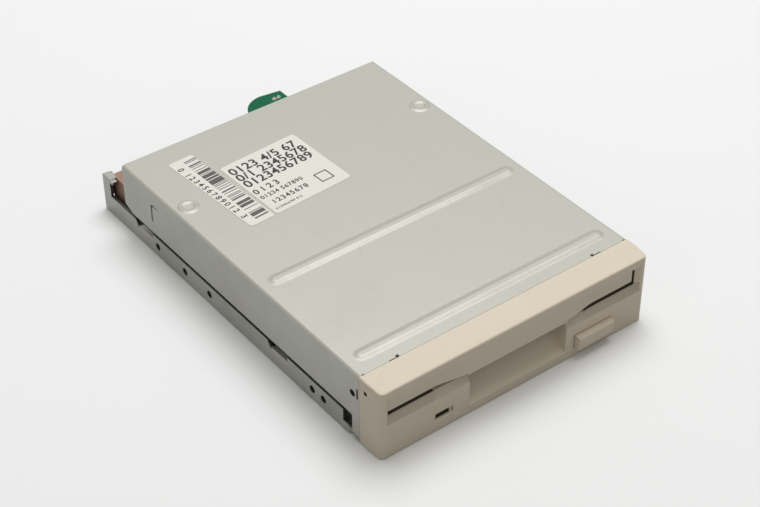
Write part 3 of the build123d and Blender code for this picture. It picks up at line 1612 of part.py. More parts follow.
# Main board with its parts
board_motor_half = stepper_radius + board_motor_gap
with BuildPart() as main_board:
    with BuildSketch(Plane.XY.offset(board_low)):
        with BuildLine():
            Polyline(
                (-board_waist, at(board_front)),
                (board_waist, at(board_front)),
                (board_waist, at(board_notch_rear)),
                (board_half, at(board_notch_rear)),
                (board_half, at(board_end)),
                (screw_x + board_motor_half, at(board_end)),
                (screw_x + board_motor_half, at(board_motor_front)),
                (screw_x - board_motor_half, at(board_motor_front)),
                (screw_x - board_motor_half, at(board_end)),
                (-board_half, at(board_end)),
                (-board_half, at(board_notch_rear)),
                (-board_waist, at(board_notch_rear)),
                close=True,
            )
        make_face()
        holes = [
            (side * board_screw_offset, at(distance))
            for side in (-1, 1)
            for distance in (board_screw_front, board_screw_rear)
        ]
        with Locations(*holes):
            Circle(board_hole_radius, mode=Mode.SUBTRACT)
    extrude(amount=board_thickness)
keep(main_board, "main_board")

with BuildPart() as circuit_chips:
    with BuildSketch(Plane.XY.offset(board_low)):
        with Locations((controller_x, at(controller_depth))):
            Rectangle(controller_size, controller_size)
        with Locations((driver_x, at(driver_depth))):
            Rectangle(driver_length, driver_width)
    extrude(amount=-chip_thickness)
    with BuildSketch(Plane.XY.offset(board_top)):
        with Locations((capacitor_x, at(capacitor_depth))):
            Circle(capacitor_radius)
    extrude(amount=capacitor_height)
keep(circuit_chips, "circuit_chips")

with BuildPart() as board_screws:
    for side in (-1, 1):
        screws = (
            (board_screw_offset, board_screw_front, board_low, board_top),
            (board_screw_offset, board_screw_rear, board_low, board_top),
            (motor_screw_offset, motor_screw_front, motor_board_low, motor_board_top),
            (motor_screw_offset, motor_screw_rear, motor_board_low, motor_board_top),
        )
        for offset_x, distance, head_top, seat in screws:
            post(side * offset_x, distance, (head_top - screw_head, head_top), screw_head_radius)
            post(side * offset_x, distance, (head_top, seat), board_hole_radius)
keep(board_screws, "board_screws")

# Data connector: a shrouded header with two rows of pins, open to the rear
with BuildPart() as data_connector:
    data_right = data_left + data_width
    data_top = board_top + data_height
    block((data_left, data_right), (data_front, data_end), (board_top, data_top))
    block(
        (data_left + data_wall_side, data_right - data_wall_side),
        (data_front + data_floor, data_end + overrun),
        (board_top + data_wall, data_top - data_wall),
        Mode.SUBTRACT,
    )
    data_middle = (data_left + data_right) / 2
    block(
        (data_middle - data_key / 2, data_middle + data_key / 2),
        (data_end - data_key_depth, data_end + overrun),
        (data_top - 2 * data_wall, data_top + overrun),
        Mode.SUBTRACT,
    )
    data_centre = board_top + data_height / 2
    with BuildSketch(across(data_front + data_floor)):
        with Locations((data_middle, data_centre)):
            with GridLocations(pin_pitch, pin_pitch, pin_columns, 2):
                Rectangle(pin_side, pin_side)
    extrude(amount=data_floor, mode=Mode.SUBTRACT)
keep(data_connector, "data_connector")

with BuildPart() as data_pins:
    with BuildSketch(across(data_end - pin_setback)):
        with Locations((data_middle, data_centre)):
            with GridLocations(pin_pitch, pin_pitch, pin_columns, 2):
                Rectangle(pin_side, pin_side)
    extrude(amount=data_end - pin_setback - data_front + pin_tail)
keep(data_pins, "data_pins")

# Power connector: four pins between thin walls
with BuildPart() as power_connector:
    power_right = power_left + power_width
    power_top = board_top + power_height
    block((power_left, power_right), (data_front, data_end), (board_top, power_top))
    block(
        (power_left + power_wall, power_right - power_wall),
        (data_front + data_floor, data_end + overrun),
        (board_top + power_wall, power_top + overrun),
        Mode.SUBTRACT,
    )
    power_middle = (power_left + power_right) / 2
    power_centre = board_top + power_height / 2
    with BuildSketch(across(data_front + data_floor)):
        with Locations((power_middle, power_centre)):
            with GridLocations(power_pitch, power_pitch, power_pins_count, 1):
                Rectangle(pin_side, pin_side)
    extrude(amount=data_floor, mode=Mode.SUBTRACT)
keep(power_connector, "power_connector")

with BuildPart() as power_pins:
    with BuildSketch(across(data_end - pin_setback)):
        with Locations((power_middle, power_centre)):
            with GridLocations(power_pitch, power_pitch, power_pins_count, 1):
                Rectangle(pin_side, pin_side)
    extrude(amount=data_end - pin_setback - data_front + pin_tail)
keep(power_pins, "power_pins")

# Head flex: a strip that loops from the carriage down to its socket
flex_top = carriage_low + (carriage_top - carriage_low) / 2
with BuildPart() as flex_socket:
    block(
        (flex_left, flex_left + flex_width),
        (flex_socket_depth, flex_socket_depth + flex_socket_length),
        (board_top, board_top + flex_socket_height),
    )
keep(flex_socket, "flex_socket")

with BuildPart() as head_flex:
    flex_low = board_top + flex_socket_height / 2
    bend = (flex_top - flex_low) / 2
    bend_at = carriage_end + flex_slack
    flex_middle = (flex_top + flex_low) / 2
    socket_end = flex_socket_depth + flex_socket_length
    with BuildSketch(Plane.YZ.offset(flex_left)):
        with Locations((at(bend_at), flex_middle)):
            Circle(bend + flex_thickness / 2)
            Circle(bend - flex_thickness / 2, mode=Mode.SUBTRACT)
        with Locations((at(bend_at - bend), flex_middle)):
            Rectangle(2 * bend, 4 * bend, mode=Mode.SUBTRACT)
        with Locations((at((carriage_end + bend_at) / 2), flex_top)):
            Rectangle(bend_at - carriage_end, flex_thickness)
        with Locations((at((socket_end + bend_at) / 2), flex_low)):
            Rectangle(bend_at - socket_end, flex_thickness)
    extrude(amount=flex_width)
keep(head_flex, "head_flex")
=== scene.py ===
# %% [markdown]
# # Dressing a floppy disk drive
# The drive's solids come ready from a CAD model: a moulded bezel, a folded steel case, and the disk and
# head mechanism inside. This lesson leaves their shapes alone and gives each one the surface of the real
# thing. What is too thin or too fine for the solids, such as paper labels, the caps of the posts and a
# screw's thread, is made here.

import math

import bmesh
import bpy
from mathutils import Matrix, Vector


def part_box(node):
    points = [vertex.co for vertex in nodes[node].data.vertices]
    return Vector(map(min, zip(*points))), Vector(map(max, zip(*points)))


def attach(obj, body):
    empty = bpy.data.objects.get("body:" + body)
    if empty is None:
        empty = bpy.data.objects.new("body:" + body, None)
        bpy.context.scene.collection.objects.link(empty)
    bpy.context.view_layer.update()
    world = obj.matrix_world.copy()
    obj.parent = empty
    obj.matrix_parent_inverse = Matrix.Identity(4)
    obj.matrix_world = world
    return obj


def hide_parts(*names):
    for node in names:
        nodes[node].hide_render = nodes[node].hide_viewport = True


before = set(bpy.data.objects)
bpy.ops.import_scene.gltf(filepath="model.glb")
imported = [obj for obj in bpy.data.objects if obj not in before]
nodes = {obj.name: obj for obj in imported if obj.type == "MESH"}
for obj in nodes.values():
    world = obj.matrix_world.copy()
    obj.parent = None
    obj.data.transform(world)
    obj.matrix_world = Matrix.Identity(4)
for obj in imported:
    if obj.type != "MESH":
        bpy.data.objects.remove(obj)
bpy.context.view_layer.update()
MM = 0.001

# %% [markdown]
# ## Where things are counted from
# A drive of this kind is drawn in millimetres: X from its middle, heights from the floor, and distances
# from the bezel's face back to the rear. Blender works in metres, so every place below is given in the
# first way and turned into the second at the end. The bezel is as wide and as high as the folded case,
# and its box says where the face, the sides and the top lie.

# %% Sizes from the bezel
bezel_low, bezel_high = (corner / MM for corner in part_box("bezel"))
FRONT = round(bezel_low.y, 1)
HALF_WIDTH = round(bezel_high.x, 1)
COVER_TOP = round(bezel_high.z, 1)
HAIR = 0.02  # keeps two faces from lying in one plane
print("face at:", FRONT, "half width:", HALF_WIDTH, "height:", COVER_TOP)

# %% [markdown]
# ## The camera
# A camera can be solved from a photograph when a few of the object's sizes are known. A drive of this
# kind is 101.6 mm wide and 25.4 mm high, which gives the place, the direction and the focal length
# below. Setting them directly, instead of turning the view by hand, lets every edge fall where the
# photograph has it.

# %% Camera
# Angles in degrees, the place in mm from the middle of the drive, and the film's width in mm
AZIMUTH, ELEVATION, ROLL = -37.25, 38.54, -0.30
CAMERA_PLACE = Vector((-268.18, -360.21, 361.46))
LENS, SENSOR = 85.24, 36.0

azimuth, elevation = math.radians(AZIMUTH), math.radians(ELEVATION)
level = math.cos(elevation)
back = Vector((math.sin(azimuth) * level, -math.cos(azimuth) * level, math.sin(elevation)))
roll = Matrix.Rotation(math.radians(ROLL), 3, "Z")

camera_data = bpy.data.cameras.new("camera")
camera_data.sensor_width = SENSOR
camera_data.lens = LENS
camera = bpy.data.objects.new("camera", camera_data)
bpy.context.scene.collection.objects.link(camera)
camera.location = CAMERA_PLACE * MM
camera.rotation_mode = "QUATERNION"
camera.rotation_quaternion = ((-back).to_track_quat("-Z", "Y").to_matrix() @ roll).to_quaternion()
bpy.context.scene.camera = camera
bpy.context.scene.view_settings.view_transform = "Standard"
print("camera distance in mm:", round(camera.location.length / MM))

# %% [markdown]
# ## Shader sums as plain Python
# A node tree is easier to read as a formula. It could be wired up by hand, node by node, but a pattern
# of twenty sums is then lost in its cables. The class below wraps a socket, so that adding, multiplying
# or comparing two of them adds the Math node that does it.


# %% A socket that can be used in sums
class Value:
    """A shader socket that takes part in Python sums."""

    def __init__(self, owner, socket):
        self.owner, self.socket = owner, socket

    def maths(self, operation, *numbers):
        """A Math node on numbers or sockets."""
        return self.owner.add("ShaderNodeMath", {"operation": operation}, dict(enumerate(numbers)))

    def __add__(self, other):
        return self.maths("ADD", self, other)

    __radd__ = __add__

    def __sub__(self, other):
        return self.maths("SUBTRACT", self, other)

    def __rsub__(self, other):
        return self.maths("SUBTRACT", other, self)

    def __mul__(self, other):
        return self.maths("MULTIPLY", self, other)

    __rmul__ = __mul__

    def __truediv__(self, other):
        return self.maths("DIVIDE", self, other)

    def __pow__(self, other):
        return self.maths("POWER", self, other)

    def __gt__(self, other):
        return self.maths("GREATER_THAN", self, other)

    def __lt__(self, other):
        return self.maths("LESS_THAN", self, other)

    def __abs__(self):
        return self.maths("ABSOLUTE", self)

    def __floor__(self):
        return self.maths("FLOOR", self)

    def at_most(self, other):
        """The smaller of two values."""
        return self.maths("MINIMUM", self, other)

    def at_least(self, other):
        """The larger of two values."""
        return self.maths("MAXIMUM", self, other)

    def smooth(self, low, high):
        """0 below low, 1 above high, and a smooth step between them."""
        inputs = {"Value": self, "From Min": low, "From Max": high}
        return self.owner.add("ShaderNodeMapRange", {"interpolation_type": "SMOOTHSTEP"}, inputs)


def within(value, low, high):
    """1 where a value lies between two others."""
    return (value > low) * (value < high)


def diagonal(first, second):
    """The length of the diagonal of two values."""
    return (first * first + second * second) ** 0.5


print("shader sockets can now be used in sums")

# %% [markdown]
# ## A finish
# Every node of every tree here comes from the method below, which takes the node's type, its settings
# and what goes into its sockets. A finish is such a tree with one Principled shader. Its patterns are
# read in object coordinates, in metres, so a grain has its real size on every piece and stays on the
# piece as it moves.


# %% A tree of nodes, and a finish
class Tree:
    """The nodes of a material or of the world."""

    def __init__(self, owner):
        owner.use_nodes = True
        self.tree = owner.node_tree
        self.tree.nodes.clear()

    def add(self, kind, settings, inputs, output=0):
        """Any node: its settings are set first, then its sockets are given values or links."""
        node = self.tree.nodes.new(kind)
        for name, value in settings.items():
            setattr(node, name, value)
        for key, value in inputs.items():
            self.link(node.inputs[key], value)
        return Value(self, node.outputs[output]) if node.outputs else node

    def link(self, socket, value):
        """A socket gets a link, a colour of three numbers, or a plain value."""
        if isinstance(value, Value):
            self.tree.links.new(value.socket, socket)
        elif socket.type == "RGBA":
            socket.default_value = (*value, 1)
        else:
            socket.default_value = value

    def mix(self, factor, first, second):
        """Two colours blended by a factor. The node's sockets 6 and 7 are its colours."""
        inputs = {0: factor, 6: first, 7: second}
        return self.add("ShaderNodeMix", {"data_type": "RGBA"}, inputs, output=2)


class Finish(Tree):
    """A material with a Principled shader, built up node by node."""

    def __init__(self, name, colour, roughness=0.5, metallic=0.0):
        self.material = bpy.data.materials.new(name)
        super().__init__(self.material)
        surface = self.add("ShaderNodeBsdfPrincipled", {}, {})
        self.shader = surface.socket.node
        self.add("ShaderNodeOutputMaterial", {}, {"Surface": surface})
        self.place = self.add("ShaderNodeTexCoord", {}, {}, output="Object")
        self.feed({"Base Color": colour, "Roughness": roughness, "Metallic": metallic})

    def feed(self, sockets):
        """Values or links for the shader's own sockets, by name."""
        for name, value in sockets.items():
            self.link(self.shader.inputs[name], value)

    def stretch(self, x, y, z, turn=0.0):
        """The object's coordinates scaled along each axis. A turn then reads other parts of a noise."""
        inputs = {"Vector": self.place, "Rotation": (0, 0, turn), "Scale": (x, y, z)}
        return self.add("ShaderNodeMapping", {}, inputs)

    def noise(self, per_mm, detail=3.0, rough=0.5, place=None):
        """A soft noise from 0 to 1, with so many features to the millimetre."""
        vector = place or self.place
        inputs = {"Vector": vector, "Scale": per_mm / MM, "Detail": detail, "Roughness": rough}
        return self.add("ShaderNodeTexNoise", {}, inputs)

    def axis(self, letter):
        """One of the object's coordinates, in millimetres."""
        return self.add("ShaderNodeSeparateXYZ", {}, {0: self.place}, output=letter) / MM

    def room(self, xs, distances, zs):
        """1 inside a box in mm, given as x, distance behind the front and height."""
        inside = within(self.axis("X"), *xs) * within(self.axis("Z"), *zs)
        return inside * within(self.axis("Y") - FRONT, *distances)

    def bump(self, height, depth_mm, strength=1.0):
        """A relief of so many millimetres, read by the shader's normal."""
        inputs = {"Height": height, "Distance": depth_mm * MM, "Strength": strength}
        self.feed({"Normal": self.add("ShaderNodeBump", {}, inputs)})


def dress(finish, *names):
    """Give solids a finish in place of the plain one that they came with."""
    for name in names:
        materials = nodes[name].data.materials
        materials.clear()
        materials.append(finish.material)
    print(finish.material.name, "on", ", ".join(names))


# %% [markdown]
# ## Moulded beige plastic
# Such a bezel is ABS, moulded in a tool whose steel was spark eroded, so the surface is a fine even grain
# that scatters the light. The plastic has yellowed a little, unevenly. A photograph of the grain could be
# laid on it, but it would repeat and would fit one size only. A noise of several features a millimetre
# gives the grain as a bump instead, and a slow one tints the colour by a few percent, with a second one
# that is drawn out along the front, the way the melt flowed.

# %% Beige plastic
WARM_BEIGE, COOL_BEIGE = (0.73, 0.657, 0.54), (0.70, 0.622, 0.503)
# The second brown is the colour of painted shade
SPECK_BROWN, SHADE_BROWN = (0.30, 0.25, 0.19), (0.05, 0.04, 0.03)


def beige_plastic(name, shaded_boxes):
    """The bezel's plastic, with painted shade in boxes in mm, and how dark it is there."""
    plastic = Finish(name, WARM_BEIGE)
    cloud = plastic.noise(0.03, detail=2.0).smooth(0.35, 0.65)
    specks = plastic.noise(1.6, detail=1.0) > 0.72
    drawn = plastic.noise(0.5, place=plastic.stretch(0.04, 1.0, 1.0)).smooth(0.35, 0.65)
    tint = plastic.mix(cloud * 0.3 + drawn * 0.35, WARM_BEIGE, COOL_BEIGE)
    colour = plastic.mix(specks * 0.06, tint, SPECK_BROWN)
    # Painted shade: each box darkens the colour towards a shade brown
    for *box, darkness in shaded_boxes.values():
        colour = plastic.mix(plastic.room(*box) * darkness, colour, SHADE_BROWN)
    grain = plastic.noise(3.2, detail=2.0)
    plastic.feed({"Base Color": colour, "Roughness": 0.50 + grain * 0.16})
    plastic.bump(grain, 0.02, strength=0.35)
    return plastic


# %% [markdown]
# Behind its front the bezel is painted dark as shade, where little light reaches: past the slot's edge,
# in the lamp's window, round the button, over the door, on the lugs and in the small side holes. Lighter
# painted shade lies on the slopes under the slot and on the bevel beside the front. Painting it on would
# need a map of the whole bezel. A box for each such place, with how dark it is, can be moved by a
# millimetre at a time.

# %% The bezel, its door and its button
# How dark the painted shade is: deep in the hollows, lighter on the slopes and on the bevel
DEEP_SHADE, SLOPE_SHADE, BEVEL_SHADE = 0.93, 0.24, 0.16
BEZEL_REAR = 9.6
SLOPE_RUN, SLOPE_HEIGHTS = (0.12, 1.62), (10.5, 15.6)
PAINTED_SHADE_BOXES = {
    "past the slot's edge": ((-49, 49), (1.62, BEZEL_REAR), (14.2, 24), DEEP_SHADE),
    "the lamp's window": ((-31.3, -24), (0.5, BEZEL_REAR), (4.6, 7.1), DEEP_SHADE),
    "round the button": ((22.0, 36.9), (0.02, BEZEL_REAR), (3.1, 8.5), DEEP_SHADE),
    "the lugs": ((-49.95, 49.95), (9.55, 20), (10, 24), DEEP_SHADE),
    "over the door": ((-50, 50), (2.1, BEZEL_REAR), (21.0, 23.6), DEEP_SHADE),
    "the side holes": ((-51.25, 51.25), (5.95, 7.35), (20.5, 21.9), DEEP_SHADE),
    "the slope on the left": ((-48.9, -19.0), SLOPE_RUN, SLOPE_HEIGHTS, SLOPE_SHADE),
    "the slope on the right": ((19.5, 48.9), SLOPE_RUN, SLOPE_HEIGHTS, SLOPE_SHADE),
    "the bevel beside the front": ((-51.5, -50.2), (0.25, 0.8), (0.8, 24.0), BEVEL_SHADE),
}
dress(beige_plastic("bezel plastic", PAINTED_SHADE_BOXES), "bezel")
dress(beige_plastic("beige plastic", {}), "dust_door", "eject_button")

# %% [markdown]
# ## Zinc-plated sheet
# The case and chassis are folded from steel that was plated in the coil and has dulled since, so it
# mirrors only a little and is made as a third of a metal. Rolling leaves faint streaks from front to
# rear, handling leaves smudges and a few scratches, and the plating has a slight green cast. Streaks are
# a noise stretched fifty times along one axis. The scratches are the thin cell walls of a Voronoi
# pattern that is stretched twenty times and shown in patches.

# %% Streaks and scratches
SCRATCH_GREY, CUT_SHADE_BROWN = (0.25, 0.25, 0.24), (0.05, 0.045, 0.04)


def scratches(sheet, turn):
    """1 on thin lines from front to rear, in patches."""
    inputs = {"Vector": sheet.stretch(1.0, 0.05, 1.0, turn + 0.4), "Scale": 0.12 / MM}
    walls = sheet.add("ShaderNodeTexVoronoi", {"feature": "DISTANCE_TO_EDGE"}, inputs)
    patch = sheet.noise(0.09, detail=1.0).smooth(0.55, 0.62)
    return (walls < 0.0035) * patch


def painted_cut_shade(sheet, shaded_cuts):
    """1 inside any of some boxes in mm of painted shade, on both sides of the drive."""
    from_middle, distance, height = abs(sheet.axis("X")), sheet.axis("Y") - FRONT, sheet.axis("Z")
    shaded = 0.0
    for sideways, backwards, upwards in shaded_cuts.values():
        box = within(from_middle, *sideways) * within(distance, *backwards) * within(height, *upwards)
        shaded = box + shaded
    return shaded.at_most(1.0)


def plated(name, tint, shade, roughness, turn, shaded_cuts, pressed=None):
    """Plated sheet of two tints, with painted shade at its cuts and gaps, and soft pressings where a
    function gives them.
    """
    sheet = Finish(name, tint, roughness, metallic=0.3)
    streak = sheet.noise(3.0, place=sheet.stretch(1.0, 0.02, 1.0, turn))
    smudge = sheet.noise(0.05, detail=4.0, rough=0.6).smooth(0.42, 0.68)
    tooth = sheet.noise(6.0, detail=1.0)
    worn = sheet.mix(streak * 0.5 + smudge * 0.5, tint, shade)
    worn = sheet.mix(scratches(sheet, turn) * 0.15, worn, SCRATCH_GREY)
    # Painted shade: a dark brown at the cuts and in the gaps behind them
    sheet.feed({"Base Color": sheet.mix(painted_cut_shade(sheet, shaded_cuts) * 0.9, worn, CUT_SHADE_BROWN)})
    sheet.feed({"Roughness": roughness - 0.05 + streak * 0.06 + smudge * 0.08})
    if pressed:
        sheet.bump(pressed(sheet) + (tooth + streak) * 0.0015, 1.0)
    else:
        sheet.bump(tooth + streak, 0.006, strength=0.25)
    return sheet


# %% [markdown]
# ## Soft pressings
# A press pushed two beads and two rings up from the cover, and sheet metal flows round such a form
# without a crease. The solids have straight slopes of 45 degrees. They could be remodelled with many
# more faces, but a bump is enough: it adds only the difference between the soft shape and the solid one.

# %% Beads and rings
# A bead is flat up to BEAD_FLAT from its middle line and level with the sheet past BEAD_FOOT, and a ring
# is level with it RING_FOOT from its crest.
BEADS = (16.6, 58.4)
BEAD_RISE = 0.5
BEAD_HALF = 2.1
BEAD_REACH = 46.6
BEAD_END = BEAD_REACH - BEAD_HALF
BEAD_FLAT = 0.5
BEAD_FOOT = 2.8
RINGS = ((-45.7, 104.2), (45.7, 104.2))
RING_RISE = 0.4
RING_HALF = 0.65
RING_OUTER = 3.2
RING_CREST = RING_OUTER - RING_HALF
RING_SLOPE = 2 * RING_RISE / RING_HALF
RING_SOFT = 0.3
RING_FOOT = 1.15


def pressings(sheet):
    """How far the soft beads and rings stand over the solid's own, in mm."""
    x, distance = sheet.axis("X"), sheet.axis("Y") - FRONT
    past_end = (abs(x) - BEAD_END).at_least(0.0)
    relief = 0.0
    for bead in BEADS:
        from_line = diagonal(distance - bead, past_end)
        solid = (BEAD_HALF - from_line).at_least(0.0).at_most(BEAD_RISE)
        relief = (1 - from_line.smooth(BEAD_FLAT, BEAD_FOOT)) * BEAD_RISE - solid + relief
    for ring_x, ring_distance in RINGS:
        from_crest = abs(diagonal(x - ring_x, distance - ring_distance) - RING_CREST)
        solid = ((RING_HALF - from_crest) * RING_SLOPE).at_least(0.0).at_most(RING_RISE)
        relief = relief + (1 - from_crest.smooth(0.0, RING_FOOT)) * RING_SOFT - solid
    return relief


print("beads at:", BEADS, "rings at:", RINGS)

# %% [markdown]
# ## Painted shade at cuts and gaps
# The plating was on the coil before the sheet was cut, so every cut edge is bare steel. The cut edges,
# the holes and the gaps behind them lie in shade, and a dark brown is painted there as shade. Each one
# lies in a box, on both sides of the drive alike. Most boxes stop short of the sheet's outer skin, which
# keeps its plating.

# %% The case and the chassis
SKIN = 0.08  # the plated skin that the boxes leave alone
ANYWHERE = (0.0, 150.0)  # from front to rear
THROUGH_COVER, THROUGH_FRAME = (49.0, HALF_WIDTH - SKIN), (49.75, HALF_WIDTH - SKIN)
FRAME_CORNER = (46.0, HALF_WIDTH - SKIN)
SIDE_HOLES = (27.0, 32.5, 87.0, 101.0, 117.0)
HOLE_REACH = 1.4
HOLE_HEIGHTS = (2.7, 5.5)
# Boxes of painted shade in the slits, holes, notches and gaps, and on the rear post's fold strip
COVER_SHADED_CUTS = {
    "the folded sides": (THROUGH_COVER, ANYWHERE, (9.5, 24.0)),
    "the lance": ((50.0, 51.5), (117.6, 119.2), (13.9, 19.9)),
    "the clip's slit": ((50.0, 50.9), (10.15, 10.95), (16.4, 20.2)),
}
FRAME_SHADED_CUTS = {
    "the front window": (FRAME_CORNER, (13.2, 17.6), (2.5, 8.6)),
    "the slit before it": ((46.0, 50.9), (12.6, 13.25), (2.3, 6.0)),
    "the notches": (THROUGH_FRAME, ANYWHERE, (5.5, 8.4)),
    "the rear post": (FRAME_CORNER, (140.0, 149.5), (5.5, 13.9)),
}
for middle in SIDE_HOLES:
    reach = (middle - HOLE_REACH, middle + HOLE_REACH)
    FRAME_SHADED_CUTS[f"the side hole at {middle}"] = (THROUGH_FRAME, reach, HOLE_HEIGHTS)

case_tints = (0.513, 0.515, 0.477), (0.478, 0.482, 0.444)
frame_tints = (0.465, 0.467, 0.435), (0.395, 0.397, 0.365)
case_sheet = plated("plated case sheet", *case_tints, 0.45, 0.0, COVER_SHADED_CUTS, pressings)
frame_sheet = plated("plated chassis sheet", *frame_tints, 0.40, math.pi / 2, FRAME_SHADED_CUTS)
dress(case_sheet, "top_cover")
dress(frame_sheet, "base_frame", "disk_holder", "slide_plate", "eject_lever")

# %% [markdown]
# ## Turned and bright metal
# Pins, rods and shafts are ground or turned, which leaves fine rings round them. Cast and plated parts
# have a coarser or a blurred grain. Each could have its own tree, but the same few lines make every such
# metal, with its own colour and roughness.


# %% Bright metals
def bright(name, colour, roughness, names, ring=8.0):
    """A bare metal with faint rings and stains, on the solids of those names."""
    metal = Finish(name, colour, roughness, metallic=1.0)
    rings = metal.noise(ring, detail=1.0, place=metal.stretch(0.05, 1.0, 1.0))
    stain = metal.noise(0.15).smooth(0.4, 0.7)
    darker = tuple(c * 0.78 for c in colour)
    metal.feed({"Base Color": metal.mix(stain * 0.6, colour, darker)})
    metal.feed({"Roughness": roughness + rings * 0.1})
    metal.bump(rings, 0.004, strength=0.3)
    dress(metal, *names)
    return metal


PINS = ["holder_pins", "disk_seat_pins", "spindle_shaft", "drive_pin", "lever_pivot"]
SPRINGS = ["eject_springs", "lever_spring", "door_spring", "arm_spring"]
SCREWS = ["board_screws", "stepper_screws", "rod_clamps"]
ground_steel = bright("ground steel", (0.66, 0.66, 0.64), 0.16, PINS + ["guide_rod", "lead_screw"])
bright("spring steel", (0.42, 0.42, 0.41), 0.24, SPRINGS)
screw_steel = bright("screw steel", (0.52, 0.50, 0.44), 0.3, SCREWS)
bright("rotor steel", (0.60, 0.61, 0.58), 0.28, ["spindle_rotor", "stator_core"])
bright("motor plating", (0.55, 0.55, 0.54), 0.3, ["stepper_motor"])
bright("cast aluminium", (0.62, 0.62, 0.61), 0.42, ["head_carriage", "upper_arm"], ring=3.0)
bright("bearing brass", (0.66, 0.50, 0.24), 0.3, ["spindle_bearing"])
bright("contact gold", (0.83, 0.62, 0.26), 0.22, ["data_pins", "power_pins"])
bright("coil copper", (0.66, 0.29, 0.13), 0.35, ["stator_coils"], ring=6.0)
bright("solder", (0.68, 0.68, 0.66), 0.25, ["terminal_pins", "lamp_leads"])

# %% [markdown]
# ## Circuit boards
# A board is glass cloth under a green lacquer. The copper tracks below it show as a lighter green relief,
# mostly in straight runs with square bends. Drawing real tracks would be a long job for boards that are
# mostly hidden. A brick pattern with uneven rows gives such runs, and its mortar lines are the gaps
# between the tracks.

# %% Green lacquer over copper tracks
TRACK_GREEN, GAP_GREEN = (0.002, 0.135, 0.062), (0.001, 0.075, 0.036)
CLOTH_GREEN = (0.006, 0.105, 0.052)
board = Finish("green board lacquer", TRACK_GREEN)
uneven = {"offset": 0.37, "squash": 0.6, "squash_frequency": 3, "offset_frequency": 2}
track_sizes = {
    "Vector": board.stretch(1.0, 1.0, 0.0),
    "Scale": 0.32 / MM,
    "Mortar Size": 0.022,
    "Mortar Smooth": 0.2,
    "Brick Width": 3.1,
    "Row Height": 0.42,
}
gaps = board.add("ShaderNodeTexBrick", uneven, track_sizes, output="Fac")
cloth = board.noise(2.2, detail=1.0)
lacquer = board.mix(gaps, TRACK_GREEN, GAP_GREEN)
board.feed({"Base Color": board.mix(cloth * 0.25, lacquer, CLOTH_GREEN)})
board.feed({"Roughness": 0.38 + cloth * 0.1, "Specular IOR Level": 0.15})
board.bump(1 - gaps, 0.03, strength=0.6)
dress(board, "main_board", "motor_board", "motor_terminal_board")

# %% [markdown]
# ## Other plastics
# The remaining mouldings differ in colour and gloss, and share a faint flow pattern. One function makes
# them all, so each needs only the line that says how it differs.


# %% Small mouldings
def moulded(name, colour, roughness, names, grain_depth=0.01):
    """A plastic with a faint flow pattern and a fine grain, on the solids of those names."""
    plastic = Finish(name, colour, roughness)
    flow = plastic.noise(0.2, detail=2.0)
    grain = plastic.noise(4.0, detail=1.0)
    lighter = tuple(min(1.0, c * 1.25 + 0.01) for c in colour)
    plastic.feed({"Base Color": plastic.mix(flow * 0.5, colour, lighter)})
    plastic.feed({"Roughness": roughness + grain * 0.12})
    plastic.bump(grain, grain_depth, strength=0.3)
    dress(plastic, *names)


PLUNGERS = ["write_protect_plunger", "density_plunger", "disk_plunger"]
HOUSINGS = ["circuit_chips", "switch_bodies", "track_sensor"]
SLIDING_PARTS = ["disk_chuck", "screw_bearing", "screw_follower"]
moulded("brown connector plastic", (0.33, 0.2, 0.145), 0.5, ["data_connector"])
moulded("ivory plastic", (0.70, 0.68, 0.60), 0.45, ["power_connector", "flex_socket"])
moulded("white acetal", (0.78, 0.77, 0.72), 0.38, PLUNGERS)
moulded("black chip resin", (0.022, 0.022, 0.024), 0.55, HOUSINGS)
moulded("black filled plastic", (0.03, 0.03, 0.032), 0.42, SLIDING_PARTS)
moulded("head ceramic", (0.10, 0.075, 0.06), 0.16, ["lower_head", "upper_head"], grain_depth=0.002)
moulded("dark magnet", (0.035, 0.034, 0.033), 0.6, ["rotor_magnet"])
moulded("amber flex film", (0.42, 0.17, 0.03), 0.25, ["head_flex"], grain_depth=0.003)
moulded("lamp resin", (0.05, 0.09, 0.035), 0.2, ["activity_lamp"], grain_depth=0.002)

# %% [markdown]
# ## From mesh work to a piece
# The new pieces are shaped in millimetres with bmesh, the part of Blender that edits a mesh from a
# script. Most of them are an outline that is carried along a line and rounded at some edges. A modifier
# could round them too, but a bevel of chosen edges leaves the rest alone. The last two functions turn the
# work into a finished object in metres, and say what it rides on and which solid it stands for.


# %% Extrude, round and finish
def extruded(work, faces, run):
    """Extrude faces along a run."""
    grown = bmesh.ops.extrude_face_region(work, geom=faces)["geom"]
    moved = [part for part in grown if isinstance(part, bmesh.types.BMVert)]
    bmesh.ops.translate(work, verts=moved, vec=run)


def bar(work, outline, run):
    """A bar whose end is an outline of points, carried along a run."""
    end = work.faces.new([work.verts.new(point) for point in outline])
    extruded(work, [end], run)


def rounded(work, parts, width, segments, affect="EDGES"):
    """Bevel edges, or single corners with VERTICES, to a quarter round."""
    bmesh.ops.bevel(
        work,
        geom=parts,
        offset=width,
        offset_type="OFFSET",
        segments=segments,
        profile=0.5,
        affect=affect,
        material=-1,
        clamp_overlap=True,
    )


def finished(name, mesh, finish, body, slot, *replaced):
    """A mesh in metres as a piece, on a body, in place of the solids it stands for. The slot is not used.
    """
    piece = bpy.data.objects.new(name, mesh)
    bpy.context.scene.collection.objects.link(piece)
    mesh.materials.append(finish.material)
    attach(piece, body)
    if replaced:
        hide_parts(*replaced)
    print(name, "faces:", len(mesh.polygons))


def from_work(name, work, finish, body, slot, *replaced):
    """Mesh work in millimetres as a piece."""
    bmesh.ops.recalc_face_normals(work, faces=work.faces[:])
    bmesh.ops.scale(work, verts=work.verts[:], vec=(MM, MM, MM))
    mesh = bpy.data.meshes.new(name)
    work.to_mesh(mesh)
    work.free()
    finished(name, mesh, finish, body, slot, *replaced)


